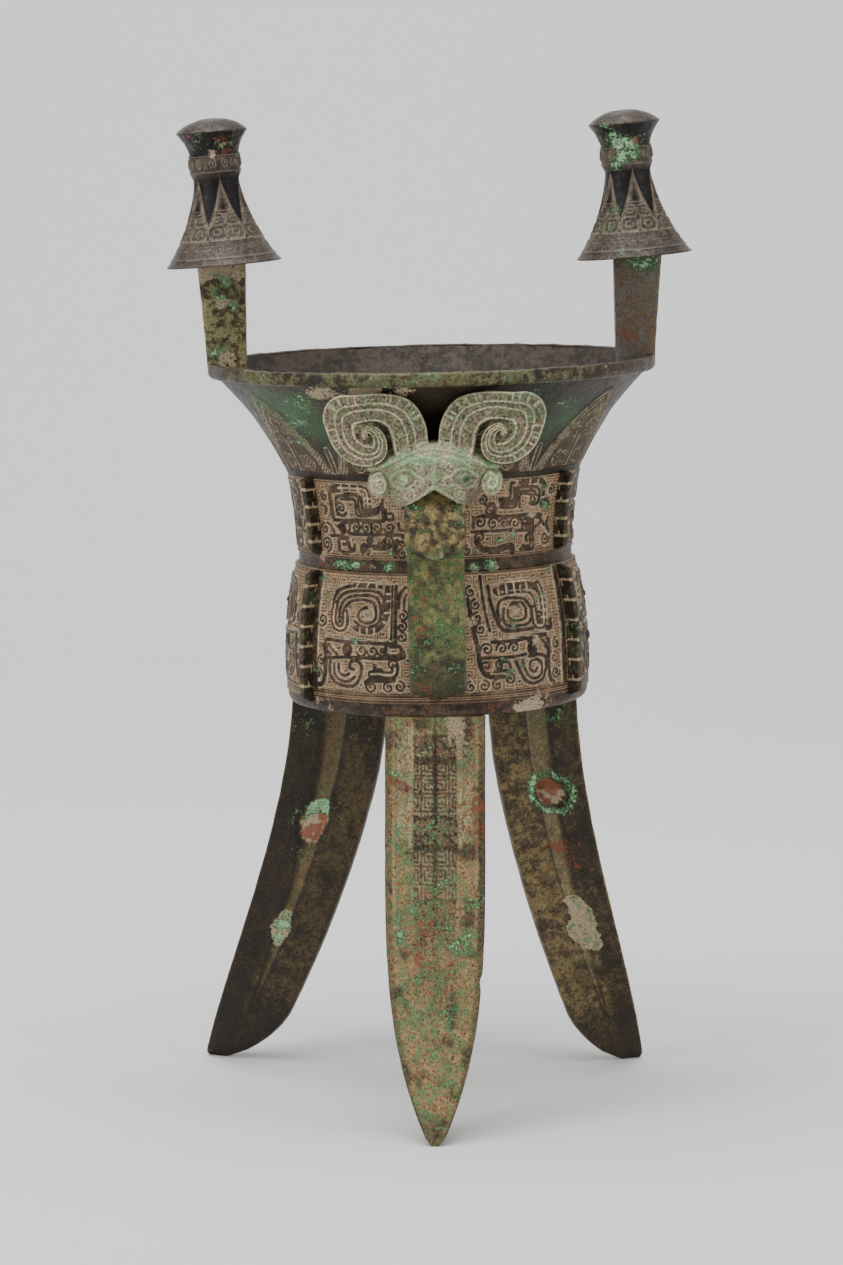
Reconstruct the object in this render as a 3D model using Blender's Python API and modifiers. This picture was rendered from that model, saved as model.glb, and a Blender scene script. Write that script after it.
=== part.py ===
"""A jia: a tall ancient Chinese bronze wine vessel that stands on three blade-like legs.

Lengths are metres and +Z is up. The handle and one leg face -Y. An azimuth is measured from -Y towards +X.
The vessel is one hollow casting, so every shape below is joined to the body by a Boolean union.
"""

import math

import bmesh
import bpy
from mathutils import Matrix, Vector

# Heights of the zones, stacked from the ground up
LEG_HEIGHT = 0.2045
EDGE_HEIGHT = 0.0045
PLAIN_BAND_HEIGHT = 0.0075
LOWER_HEIGHT = 0.0595
WAIST_HEIGHT = 0.0080
UPPER_HEIGHT = 0.0380
NECK_HEIGHT = 0.0493
LIP_HEIGHT = 0.0072

# Radii of the body's wall, without its relief
UNDERSIDE_RADIUS = 0.0728
BELLY_RADIUS = 0.0767
SHOULDER_RADIUS = 0.0708
WAIST_RADIUS = 0.0697
NECK_RADIUS = 0.0740
MOUTH_RADIUS = 0.1092
RIM_RADIUS = 0.1140

# The casting's thicknesses
WALL = 0.0032
FLOOR = 0.0038
LIP_THICKNESS = 0.0042
ROOT = 0.0013
ROUND_STEPS = 32

# The whole body leans a little on its legs, and the caps lean further
LEAN = math.radians(1.2)
LEAN_HEIGHT = 0.2900
CAP_LEAN = math.radians(3.8)

# Legs: a triangular blade each, with its ridge outwards
LEG_WIDTH = 0.0500
LEG_DEPTH = 0.0425
LEG_TOP_RADIUS = 0.0712
LEG_RIDGE = 0.0035
LEG_INNER_WIDTH = 0.0040
FOOT_WIDTH = 0.0060
FOOT_DEPTH = 0.0140
LEG_TAPER_HEIGHT = 0.1500
LEG_CHIN_HEIGHT = 0.0300
FRONT_LEG_REACH = 0.1285
LEFT_LEG_REACH = 0.1400
RIGHT_LEG_REACH = 0.1275
RIGHT_LEG_DEPTH = 0.0385
LEG_GROOVE_WIDTH = 0.0120
LEG_GROOVE_DEPTH = 0.0016
LEG_GROOVE_FOOT = 0.0350

# Flanges: five fins, and the handle stands in the sixth place
FLANGE_AZIMUTHS = (-56.0, 60.0, 121.0, 182.0, 243.0)
FLANGE_THICKNESS = 0.0042
FLANGE_HEIGHT = 0.0065
SLOT_DEPTH = 0.0009
SLOT_HEIGHT = 0.0022

# Posts and their caps
POST_SPACING = 0.2080
POST_WIDTH = 0.0197
POST_THICKNESS = 0.0140
POST_FLARE = 0.0045
POST_BEVEL = 0.0022
CAP_HEIGHT_ABOVE_RIM = 0.0495
CAP_RADIUS = 0.0293
CAP_STEM_RADIUS = 0.0115
CAP_COLLAR_RADIUS = 0.0129
CAP_KNOB_RADIUS = 0.0182
CAP_SKIRT_HEIGHT = 0.0430
CAP_COLLAR_HEIGHT = 0.0100
CAP_KNOB_RISE = 0.0140
CAP_DOME_HEIGHT = 0.0070
CAP_STEPS = 14

# Handle, its animal head and the head's horns
STRAP_WIDTH = 0.0280
STRAP_THICKNESS = 0.0050
STRAP_RIDGE = 0.0018
HOOD_WIDTH = 0.0295
HANDLE_REACH = 0.1120
HORN_THICKNESS = 0.0055
HORN_FRONT = 0.1090

# Relief
RELIEF = 0.0014
BORDER_RELIEF = 0.0008
BORDER_HEIGHT = 0.0036
BLADE_COUNT = 9
BLADE_RELIEF = 0.0010
CONE_HEIGHT = 0.0042

EDGE_Z = LEG_HEIGHT + EDGE_HEIGHT
LOWER_Z = EDGE_Z + PLAIN_BAND_HEIGHT
BELLY_Z = LOWER_Z + 0.2 * LOWER_HEIGHT
WAIST_Z = LOWER_Z + LOWER_HEIGHT
UPPER_Z = WAIST_Z + WAIST_HEIGHT
NECK_Z = UPPER_Z + UPPER_HEIGHT
LIP_Z = NECK_Z + NECK_HEIGHT
RIM_Z = LIP_Z + LIP_HEIGHT
CAP_Z = RIM_Z + CAP_HEIGHT_ABOVE_RIM

# The origin lies on the ground below the middle of the box that the vessel fills
SET_ASIDE = (CAP_Z - LEAN_HEIGHT) * math.sin(LEAN)
SET_BACK = (FRONT_LEG_REACH + LEG_RIDGE * FOOT_WIDTH / LEG_WIDTH - RIM_RADIUS) / 2


def clear_scene():
    """Remove whatever the scene holds."""
    for obj in list(bpy.data.objects):
        bpy.data.objects.remove(obj, do_unlink=True)


def new_collection(name):
    """Make a collection in the scene."""
    made = bpy.data.collections.new(name)
    bpy.context.scene.collection.children.link(made)
    return made


def new_empty(name, parent, matrix):
    """Make an empty that carries shapes."""
    empty = bpy.data.objects.new(name, None)
    vessel_collection.objects.link(empty)
    empty.parent = parent
    empty.matrix_local = matrix
    return empty


def add_shape(name, bm, parent, where):
    """Turn a bmesh into an object that takes part in a Boolean and isn't rendered itself."""
    mesh = bpy.data.meshes.new(name)
    # A Boolean needs flat faces, and the sides of a loft or a ribbon are twisted
    bmesh.ops.triangulate(bm, faces=bm.faces[:])
    bm.to_mesh(mesh)
    bm.free()
    obj = bpy.data.objects.new(name, mesh)
    where.objects.link(obj)
    obj.parent = parent
    obj.hide_render = True
    obj.display_type = "WIRE"
    return obj


def blend(low, high, share):
    """Mix two values."""
    return low + (high - low) * share


def clamp(value):
    """Keep a share between 0 and 1."""
    return min(max(value, 0.0), 1.0)


def wall_radius(z):
    """Radius of the body's outer wall at a height, without its relief."""
    if z < WAIST_Z:
        rise = clamp((z - BELLY_Z) / (WAIST_Z - BELLY_Z))
        return blend(BELLY_RADIUS, SHOULDER_RADIUS, rise**2)
    if z < UPPER_Z:
        return WAIST_RADIUS
    if z < NECK_Z:
        rise = (z - UPPER_Z) / UPPER_HEIGHT
        return blend(WAIST_RADIUS, NECK_RADIUS, rise**2)
    rise = (z - NECK_Z) / NECK_HEIGHT
    return blend(NECK_RADIUS, MOUTH_RADIUS, 0.6 * rise + 0.4 * rise**2)


def wall_height(radius):
    """Height at which the neck's wall has a radius."""
    share = (radius - NECK_RADIUS) / (MOUTH_RADIUS - NECK_RADIUS)
    rise = (math.sqrt(0.6**2 + 4 * 0.4 * share) - 0.6) / (2 * 0.4)
    return blend(NECK_Z, LIP_Z, rise)


def on_wall(azimuth, z, proud):
    """Point at an azimuth in degrees and a height, so far outside the wall."""
    angle = math.radians(azimuth)
    radius = wall_radius(z) + proud
    return Vector((radius * math.sin(angle), -radius * math.cos(angle), z))


def heights(low, high, count):
    """Evenly spaced heights, both ends included."""
    return [blend(low, high, step / (count - 1)) for step in range(count)]


def outer_profile():
    """Radius and height down the outside, from the lip's top to the middle of the underside."""
    points = [(RIM_RADIUS, RIM_Z), (RIM_RADIUS - 0.0006, LIP_Z + 0.0008)]
    points += [(wall_radius(z), z) for z in reversed(heights(NECK_Z + BORDER_HEIGHT, LIP_Z, 5))]
    points += [(NECK_RADIUS + BORDER_RELIEF, NECK_Z + BORDER_HEIGHT / 2), (NECK_RADIUS + BORDER_RELIEF, NECK_Z)]
    points += [(wall_radius(z), z) for z in reversed(heights(UPPER_Z, NECK_Z - BORDER_HEIGHT / 2, 3))]
    points += [(WAIST_RADIUS, WAIST_Z + 0.3 * WAIST_HEIGHT)]
    points += [(wall_radius(z), z) for z in reversed(heights(BELLY_Z, WAIST_Z - 0.0005, 3))]
    points += [(BELLY_RADIUS, LOWER_Z - 0.5 * PLAIN_BAND_HEIGHT), (BELLY_RADIUS - BORDER_RELIEF, EDGE_Z)]
    return points + [(UNDERSIDE_RADIUS, LEG_HEIGHT), (0.0, LEG_HEIGHT)]


def inner_profile():
    """Radius and height up the inside, from the middle of the floor to the lip's top."""
    floor_z = LEG_HEIGHT + FLOOR
    corner = 0.0060
    points = [(0.0, floor_z), (UNDERSIDE_RADIUS - WALL - corner, floor_z)]
    levels = [floor_z + corner, BELLY_Z, WAIST_Z, UPPER_Z] + heights(NECK_Z, LIP_Z, 4)
    for z in levels:
        slope = (wall_radius(z + 0.001) - wall_radius(z - 0.001)) / 0.002
        points.append((wall_radius(z) - WALL * math.hypot(1.0, clamp(slope)), z))
    return points + [(RIM_RADIUS - LIP_THICKNESS, RIM_Z)]


def turned(name, profile, steps, parent, where):
    """Turn a profile, given as radius and height down its outer side, about the Z axis."""
    bm = bmesh.new()
    verts = [bm.verts.new((radius, 0.0, z)) for radius, z in profile]
    for first, second in zip(verts, verts[1:]):
        bm.edges.new((first, second))
    obj = add_shape(name, bm, parent, where)
    screw = obj.modifiers.new("turn", "SCREW")
    screw.steps = steps
    screw.render_steps = steps
    screw.use_merge_vertices = True
    screw.merge_threshold = 0.00001
    return obj


def loft(name, sections, parent, where):
    """Join closed sections that have the same number of points, and close both ends."""
    bm = bmesh.new()
    rings = [[bm.verts.new(point) for point in section] for section in sections]
    count = len(sections[0])
    for lower, upper in zip(rings, rings[1:]):
        for side in range(count):
            after = (side + 1) % count
            bm.faces.new((lower[side], lower[after], upper[after], upper[side]))
    bm.faces.new(rings[0])
    bm.faces.new(rings[-1])
    bmesh.ops.recalc_face_normals(bm, faces=bm.faces[:])
    return add_shape(name, bm, parent, where)


def ribbons(name, paths, place, thickness, parent):
    """Raise flat ribbons. A path is a list of (across, up, half width), and place maps it to a point."""
    bm = bmesh.new()
    for path in paths:
        pairs = []
        for index, (across, up, half) in enumerate(path):
            before = path[max(index - 1, 0)]
            after = path[min(index + 1, len(path) - 1)]
            along = Vector((after[0] - before[0], after[1] - before[1])).normalized()
            edges = []
            for side in (-1, 1):
                x = across - side * half * along.y
                y = up + side * half * along.x
                edges.append((bm.verts.new(place(x, y, 0.0)), bm.verts.new(place(x, y, thickness))))
            pairs.append(edges)
        for (left, right), (next_left, next_right) in zip(pairs, pairs[1:]):
            bm.faces.new((left[1], right[1], next_right[1], next_left[1]))
            bm.faces.new((left[0], next_left[0], next_right[0], right[0]))
            bm.faces.new((left[0], left[1], next_left[1], next_left[0]))
            bm.faces.new((right[1], right[0], next_right[0], next_right[1]))
        for left, right in (pairs[0], pairs[-1]):
            bm.faces.new((left[0], right[0], right[1], left[1]))
    bmesh.ops.recalc_face_normals(bm, faces=bm.faces[:])
    return add_shape(name, bm, parent, joined)


def square_spiral(centre, width, height, turns, half):
    """Path of a rounded square spiral that winds in to its centre."""
    corners = 8
    count = round(turns * corners)
    path = []
    for step in range(count + 1):
        angle = math.radians(135) - step * math.tau / corners
        shrink = 1.0 - step / (count + 3)
        reach = 1.0 if step % 2 else 1.28
        across = centre[0] + reach * shrink * width / 2 * math.cos(angle)
        up = centre[1] + reach * shrink * height / 2 * math.sin(angle)
        path.append((across, up, half * blend(0.75, 1.0, shrink)))
    return path


def lower_strokes():
    """The mask's half in the lower register: millimetres from its flange, and above the register's foot."""
    spiral = square_spiral((37.0, 41.5), 33.0, 24.0, 1.625, 2.3)
    jaw = [(20.5, 17.0, 1.5), (14.8, 12.5, 2.1), (15.8, 5.6, 2.1), (27.5, 4.8, 2.2), (31.5, 13.0, 2.4)]
    leg = [(54.5, 16.0, 2.4), (52.5, 10.0, 1.9), (42.5, 8.2, 2.0), (40.0, 3.0, 2.6)]
    return [spiral, jaw, leg]


def upper_strokes():
    """The mask's half in the upper register, in the same way."""
    bar = [(14.0, 33.5, 1.4), (37.0, 33.5, 1.4), (38.5, 26.0, 1.0)]
    band = [(17.3, 22.5, 1.7), (18.5, 28.6, 1.7), (29.5, 28.6, 1.7), (32.5, 21.6, 1.7), (44.0, 23.4, 0.8)]
    curls = [(28.0, 14.6, 1.9), (38.0, 14.8, 1.7), (48.0, 14.6, 1.4)]
    leg = [(46.5, 8.4, 2.1), (44.5, 5.8, 1.6), (34.0, 4.0, 1.8)]
    return [bar, band, curls, leg]


def mask_half(name, strokes, foot_z, mean_radius, flange, side, span):
    """Raise one half of a mask beside its flange. The strokes are drawn for a half panel 60 degrees wide."""
    per_millimetre = math.degrees(0.001 / mean_radius) * span / 60.0

    def place(across, up, share):
        azimuth = flange + side * across * per_millimetre
        return on_wall(azimuth, foot_z + up * 0.001, blend(-ROOT, RELIEF, share))

    return ribbons(name, strokes, place, 1.0, lean)


def boss(name, flange, side, span, across, z, radius, height, top_share):
    """A round knob on the wall: an eye, or the cone in the middle of a horn."""
    azimuth = flange + side * across * math.degrees(0.001 / wall_radius(z)) * span / 60.0
    bm = bmesh.new()
    bmesh.ops.create_cone(
        bm, cap_ends=True, segments=6, radius1=radius, radius2=radius * top_share, depth=height + ROOT
    )
    outwards = on_wall(azimuth, z, 0.0)
    middle = on_wall(azimuth, z, (height - ROOT) / 2)
    outwards.z = 0.0
    turn = outwards.to_track_quat("Z", "X").to_matrix().to_4x4()
    bmesh.ops.transform(bm, matrix=Matrix.Translation(middle) @ turn, verts=bm.verts[:])
    return add_shape(name, bm, lean, joined)


def make_masks():
    """Three masks run round the vessel, each split by a flange. Their halves meet at the others and the handle."""
    flanges = FLANGE_AZIMUTHS
    lower_radius = blend(BELLY_RADIUS, SHOULDER_RADIUS, 0.2)
    upper_radius = blend(WAIST_RADIUS, NECK_RADIUS, 0.4)
    halves = (
        (flanges[0], 1, -flanges[0]),
        (flanges[0], -1, flanges[0] + 360.0 - flanges[4]),
        (flanges[1], -1, flanges[1]),
        (flanges[1], 1, flanges[2] - flanges[1]),
        (flanges[3], -1, flanges[3] - flanges[2]),
        (flanges[3], 1, flanges[4] - flanges[3]),
    )
    for number, (flange, side, span) in enumerate(halves):
        mask_half(f"lower_mask_{number}", lower_strokes(), LOWER_Z, lower_radius, flange, side, span)
        mask_half(f"upper_mask_{number}", upper_strokes(), UPPER_Z, upper_radius, flange, side, span)
        boss(f"cone_{number}", flange, side, span, 38.0, LOWER_Z + 0.0405, 0.0042, CONE_HEIGHT, 0.3)
        boss(f"lower_eye_{number}", flange, side, span, 27.0, LOWER_Z + 0.0205, 0.0028, 0.0026, 0.6)
        boss(f"upper_eye_{number}", flange, side, span, 19.5, UPPER_Z + 0.0140, 0.0024, 0.0024, 0.6)


def make_blades():
    """A ring of upright leaf-shaped blades on the neck, each a raised outline."""
    foot_z = NECK_Z + 0.0040
    height = 0.8 * (LIP_Z - foot_z)
    half_angle = 180.0 / BLADE_COUNT

    for number in range(BLADE_COUNT):
        centre = 180.0 + number * 2 * half_angle

        def place(across, up, share, centre=centre):
            azimuth = centre + across / 1.35
            return on_wall(azimuth, foot_z + up * 0.001, blend(-ROOT, BLADE_RELIEF, share))

        outline = blade_outline(half_angle * 1.16, height * 1000, 1.6)
        ribbons(f"blade_{number}", [outline], place, 1.0, lean)


def blade_outline(half_span, height, half):
    """Path of a blade's outline in millimetres: up one side to the point, and down the other."""
    path = []
    for step in (-2, -1, 0, 1, 2):
        rise = 1.0 - abs(step) / 2
        spread = half_span * (1.0 - rise) ** 0.7
        path.append((math.copysign(spread, step) if step else 0.0, rise * height, half))
    return path


def make_flanges():
    """Five slotted fins in each register."""
    for azimuth in FLANGE_AZIMUTHS:
        name = f"{azimuth:.0f}"
        flange(f"upper_flange_{name}", azimuth, UPPER_Z - 0.0005, NECK_Z + 0.0010, 4)
        flange(f"lower_flange_{name}", azimuth, EDGE_Z + 0.0010, WAIST_Z - 0.0005, 6)


def flange(name, azimuth, low, high, slots):
    """One fin, as a stack of sections that narrow at each slot."""
    angle = math.radians(azimuth)
    outwards = Vector((math.sin(angle), -math.cos(angle), 0.0))
    sideways = Vector((math.cos(angle), math.sin(angle), 0.0))
    corner = 0.0015
    levels = [(low, 0.0, corner), (low + corner, 0.0, 0.0)]
    for slot in range(slots):
        middle = blend(low, high, (slot + 0.75) / (slots + 0.5))
        levels.append((middle - SLOT_HEIGHT / 2, 0.0, 0.0))
        levels.append((middle, SLOT_DEPTH, SLOT_DEPTH))
        levels.append((middle + SLOT_HEIGHT / 2, 0.0, 0.0))
    levels += [(high - corner, 0.0, 0.0), (high, 0.0, corner)]
    sections = []
    for z, narrower, shorter in levels:
        half = FLANGE_THICKNESS / 2 - narrower
        inner = wall_radius(z) - ROOT
        outer = wall_radius(z) + FLANGE_HEIGHT - shorter
        corners = ((inner, -half), (outer, -half), (outer, half), (inner, half))
        sections.append([outwards * radius + sideways * across + Vector((0, 0, z)) for radius, across in corners])
    loft(name, sections, lean, joined)


def leg_width(z):
    """Width of a leg's outer face."""
    rise = clamp(z / LEG_TAPER_HEIGHT)
    return blend(FOOT_WIDTH, LEG_WIDTH, 1.0 - (1.0 - rise) ** 3.5)


def leg_depth(z, full):
    """Depth of a leg from its outer face to its inner edge, with a chin that curves in to the foot."""
    depth = full * blend(0.84, 1.0, clamp(z / (0.8 * LEG_HEIGHT)))
    chin = 1.0 - (1.0 - clamp(z / LEG_CHIN_HEIGHT)) ** 2
    return blend(FOOT_DEPTH, depth, chin**0.85)


def leg_radius(z, reach):
    """Distance from the axis to a leg's outer face, which sweeps outwards to the foot."""
    fall = clamp((LEG_HEIGHT - z) / LEG_HEIGHT)
    return blend(LEG_TOP_RADIUS, reach, fall**1.6)


def leg_side(edge, inner, z):
    """Points along one side face, from the outer edge inwards, with a groove that tapers to a point."""
    along = inner - edge
    length = along.length
    along.normalize()
    inwards = Vector((-along.y, along.x)) * (-1 if edge.y > 0 else 1)
    taper = clamp((z - LEG_GROOVE_FOOT) / (LEG_HEIGHT - LEG_GROOVE_FOOT)) ** 0.7
    half = min(max(LEG_GROOVE_WIDTH * taper / 2, 0.0006), 0.3 * length)
    depth = LEG_GROOVE_DEPTH * clamp(3 * taper)
    middle = edge + along * (0.47 * length)
    bank = 0.5 * half
    offsets = ((-half, 0.0), (-half + bank, depth), (half - bank, depth), (half, 0.0))
    return [middle + along * step - inwards * deep for step, deep in offsets]


def leg_section(z, reach, depth):
    """One level section of a leg, as (outwards, sideways) points."""
    outer = leg_radius(z, reach)
    width = leg_width(z)
    ridge = LEG_RIDGE * width / LEG_WIDTH
    inner_half = min(LEG_INNER_WIDTH, 0.4 * width) / 2
    edge = Vector((outer, width / 2))
    inner = Vector((outer - leg_depth(z, depth), inner_half))
    half_section = [edge] + leg_side(edge, inner, z) + [inner]
    mirrored = [Vector((point.x, -point.y)) for point in reversed(half_section)]
    return [Vector((outer + ridge, 0.0))] + half_section + mirrored


def make_legs():
    """Three legs, a third of a turn apart."""
    levels = [0.0, 0.22, 0.45, 0.7, 1.0]
    levels = [share * LEG_CHIN_HEIGHT for share in levels]
    levels += heights(LEG_CHIN_HEIGHT, LEG_HEIGHT, 8)[1:-1] + [LEG_HEIGHT + FLOOR / 2]
    for name, azimuth, reach, depth in (
        ("front_leg", 0.0, FRONT_LEG_REACH, LEG_DEPTH),
        ("left_leg", -120.0, LEFT_LEG_REACH, LEG_DEPTH),
        ("right_leg", 120.0, RIGHT_LEG_REACH, RIGHT_LEG_DEPTH),
    ):
        angle = math.radians(azimuth)
        outwards = Vector((math.sin(angle), -math.cos(angle), 0.0))
        sideways = Vector((math.cos(angle), math.sin(angle), 0.0))
        sections = []
        for z in levels:
            section = leg_section(z, reach, depth)
            sections.append([outwards * point.x + sideways * point.y + Vector((0, 0, z)) for point in section])
        loft(name, sections, stand, joined)


def make_core_holes():
    """Two shallow holes in the back legs' side faces, where the casting's core was dug out."""
    for name, z, reach, side, size in (
        ("left_core_hole", 0.1340, LEFT_LEG_REACH, -1, (0.0050, 0.0040, 0.0125)),
        ("right_core_hole", 0.1500, RIGHT_LEG_REACH, 1, (0.0068, 0.0045, 0.0072)),
    ):
        angle = math.radians(120.0)
        middle = leg_radius(z, reach) - 0.38 * LEG_DEPTH
        across = 0.25 * leg_width(z)
        place = Vector((side * middle * math.sin(angle), -middle * math.cos(angle), z))
        place += Vector((side * across * math.cos(angle), -across * math.sin(angle), 0.0))
        bm = bmesh.new()
        bmesh.ops.create_uvsphere(bm, u_segments=8, v_segments=5, radius=1.0)
        shape = Matrix.Translation(place) @ Matrix.Diagonal((*size, 1.0))
        bmesh.ops.transform(bm, matrix=shape, verts=bm.verts[:])
        add_shape(name, bm, stand, cutters)


def make_posts():
    """Two square posts on the rim. Each is rooted in the flaring wall and widens to its cap."""
    outer = RIM_RADIUS - 0.0005
    inner = outer - POST_WIDTH
    inner_z = wall_height(inner) + WALL / 2
    for side in (-1, 1):
        bm = bmesh.new()
        bmesh.ops.create_cube(bm, size=1.0)
        for vert in bm.verts:
            top = vert.co.z > 0
            outside = vert.co.x * side > 0
            flare = POST_FLARE if top else 0.0
            radius = outer + flare if outside else inner - 0.15 * flare
            vert.co.x = side * radius
            vert.co.y = math.copysign(POST_THICKNESS / 2, vert.co.y)
            foot = LIP_Z + 0.0010 if outside else inner_z
            vert.co.z = CAP_Z + 0.0040 if top else foot
        post = add_shape("left_post" if side < 0 else "right_post", bm, lean, joined)
        bevel = post.modifiers.new("edges", "BEVEL")
        bevel.width = POST_BEVEL
        bevel.segments = 1


def cap_profile():
    """Radius and height down the cap's outer side, from its top to the middle of its flat underside."""
    collar_z = CAP_SKIRT_HEIGHT + CAP_COLLAR_HEIGHT
    knob_z = collar_z + CAP_KNOB_RISE
    points = [(0.0, knob_z + CAP_DOME_HEIGHT)]
    for share in (0.55, 0.85):
        points.append((CAP_KNOB_RADIUS * share, knob_z + CAP_DOME_HEIGHT * (1.0 - share**2.6)))
    points.append((CAP_KNOB_RADIUS, knob_z))
    for share in (0.75, 0.4):
        points.append((blend(CAP_COLLAR_RADIUS, CAP_KNOB_RADIUS, share**1.6), collar_z + share * CAP_KNOB_RISE))
    points += [(CAP_COLLAR_RADIUS, collar_z), (CAP_COLLAR_RADIUS, CAP_SKIRT_HEIGHT + 0.0010)]
    for step in range(6):
        share = 1.0 - step / 6
        radius = blend(CAP_STEM_RADIUS, CAP_RADIUS, (1.0 - share) ** 1.85)
        points.append((radius, share * CAP_SKIRT_HEIGHT))
    points += [(CAP_RADIUS - 0.0010, 0.0015), (CAP_RADIUS, 0.0), (0.0, 0.0)]
    return points


def make_caps():
    """Two caps, like small umbrellas with a knob, each raised with a ring of triangles."""
    for side in (-1, 1):
        name = "left" if side < 0 else "right"
        place = Matrix.Translation((side * POST_SPACING / 2, 0.0, CAP_Z))
        holder = new_empty(f"{name}_cap_place", lean, place @ Matrix.Rotation(-CAP_LEAN, 4, "Y"))
        turned(f"{name}_cap", cap_profile(), CAP_STEPS, holder, joined)


def strap_sections():
    """Sections of the handle, from inside the animal's head down to the body's wall."""
    top = NECK_Z
    reach = HANDLE_REACH
    # Each entry is the ridge's distance from the axis and height, the half width, and how far the ridge dips
    stations = [
        (reach - 0.0060, top, HOOD_WIDTH / 2, 0.0),
        (reach + 0.0010, top - 0.0090, HOOD_WIDTH / 2, 0.0),
        (reach + 0.0045, top - 0.0200, HOOD_WIDTH / 2, 0.0010),
        (reach + 0.0035, top - 0.0300, HOOD_WIDTH / 2, 0.0040),
        (reach + 0.0003, top - 0.0315, STRAP_WIDTH / 2, 0.0040),
        (reach, UPPER_Z - 0.0140, STRAP_WIDTH / 2, 0.0),
        (reach - 0.0020, UPPER_Z - 0.0340, STRAP_WIDTH / 2, 0.0),
        (reach - 0.0060, LOWER_Z + 0.0180, STRAP_WIDTH / 2, 0.0),
        (reach - 0.0130, LOWER_Z + 0.0065, STRAP_WIDTH / 2, 0.0),
        (reach - 0.0240, LOWER_Z + 0.0010, STRAP_WIDTH / 2, 0.0),
        (BELLY_RADIUS - WALL / 2 - 0.0006, LOWER_Z + 0.0005, STRAP_WIDTH / 2, 0.0),
    ]
    middles = [Vector((0.0, -out, z)) for out, z, half, dip in stations]
    sections = []
    for index, (out, z, half, dip) in enumerate(stations):
        before = middles[max(index - 1, 0)]
        after = middles[min(index + 1, len(middles) - 1)]
        along = (after - before).normalized()
        if dip:
            along = Vector((0.0, 0.0, -1.0))
        outwards = Vector((0.0, along.z, -along.y))
        ridge = middles[index] - Vector((0.0, 0.0, dip))
        edge = middles[index] - outwards * STRAP_RIDGE
        back = middles[index] - outwards * STRAP_THICKNESS
        side = Vector((half, 0.0, 0.0))
        sections.append([ridge, edge + side, back + side, back - side, edge - side])
    return sections


def head_sections():
    """Level sections of the animal's head, from its muzzle up to the ridge of its brow."""
    # Height below or above the neck's foot, the front's distance from the axis, and the half width
    stations = (
        (-0.0110, 0.1120, 0.0150),
        (-0.0050, 0.1165, 0.0205),
        (0.0030, 0.1150, 0.0245),
        (0.0090, 0.1115, 0.0330),
        (0.0130, 0.1125, 0.0270),
        (0.0175, 0.1100, 0.0160),
        (0.0205, 0.1060, 0.0040),
    )
    sections = []
    for rise, front, half in stations:
        z = NECK_Z + rise
        root = wall_radius(z) - WALL / 2 - 0.0040
        outline = ((0.0, front), (0.55 * half, front - 0.0030), (half, front - 0.0130), (half, root))
        right = [Vector((across, -out, z)) for across, out in outline]
        left = [Vector((-across, -out, z)) for across, out in reversed(outline[1:])]
        sections.append(right + left)
    return sections


def make_handle():
    """The strap, and the horned head that it hangs from."""
    loft("strap", strap_sections(), lean, joined)
    loft("head", head_sections(), lean, joined)
    for side in (-1, 1):
        ball(f"ear_{side}", (side * 0.0290, -0.1010, NECK_Z + 0.0015), (0.0068, 0.0055, 0.0085), side * 18.0)
        ball(f"eye_{side}", (side * 0.0165, -0.1115, NECK_Z + 0.0050), (0.0036, 0.0030, 0.0036), 0.0)
        make_horn(side)


def ball(name, place, size, turn):
    """A squashed sphere: an ear or an eye."""
    bm = bmesh.new()
    bmesh.ops.create_uvsphere(bm, u_segments=7, v_segments=4, radius=1.0)
    shape = Matrix.Translation(place) @ Matrix.Rotation(math.radians(turn), 4, "Y")
    bmesh.ops.transform(bm, matrix=shape @ Matrix.Diagonal((*size, 1.0)), verts=bm.verts[:])
    add_shape(name, bm, lean, joined)


def make_horn(side):
    """A flat horn that rises from the brow and coils inwards on itself."""
    # Millimetres sideways, millimetres above the neck's foot, and half the horn's width there
    path = [
        (8.0, 15.0, 9.0),
        (12.0, 28.0, 8.2),
        (18.0, 38.6, 7.2),
        (32.0, 39.8, 6.8),
        (43.5, 37.8, 7.2),
        (45.8, 29.0, 6.8),
        (40.5, 19.6, 6.4),
        (32.0, 16.6, 6.0),
        (26.8, 21.0, 4.2),
        (28.6, 27.4, 3.3),
        (33.0, 29.2, 2.7),
        (36.0, 26.5, 2.0),
    ]

    # The two horns run into each other at their roots, so one lies a little further back
    front = HORN_FRONT - (0.0004 if side < 0 else 0.0)

    def place(across, up, share):
        out = front - HORN_THICKNESS * (1.0 - share)
        return Vector((side * across * 0.001, -out, NECK_Z + up * 0.001))

    ribbons(f"horn_{side}", [path], place, 1.0, lean)


def boolean(target, operation, collection):
    """Join or cut the body with all the shapes of a collection."""
    modifier = target.modifiers.new(operation.lower(), "BOOLEAN")
    modifier.operation = operation
    modifier.operand_type = "COLLECTION"
    modifier.collection = collection
    # The exact solver leaves open edges where strokes nearly touch
    modifier.solver = "MANIFOLD"


def bronze():
    """Old bronze under a brown and green patina."""
    material = bpy.data.materials.new("patinated_bronze")
    material.use_nodes = True
    shader = material.node_tree.nodes["Principled BSDF"]
    shader.inputs["Base Color"].default_value = (0.16, 0.14, 0.10, 1.0)
    shader.inputs["Metallic"].default_value = 0.35
    shader.inputs["Roughness"].default_value = 0.55
    return material


clear_scene()
vessel_collection = new_collection("jia_wine_vessel")
joined = new_collection("joined_shapes")
cutters = new_collection("cutters")
stand = new_empty("stand", None, Matrix.Translation((SET_ASIDE, SET_BACK, 0.0)))
pivot = Matrix.Translation((0.0, 0.0, LEAN_HEIGHT))
lean = new_empty("lean", stand, pivot @ Matrix.Rotation(-LEAN, 4, "Y") @ pivot.inverted())

vessel = turned("jia_vessel", inner_profile() + outer_profile(), ROUND_STEPS, lean, vessel_collection)
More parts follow.
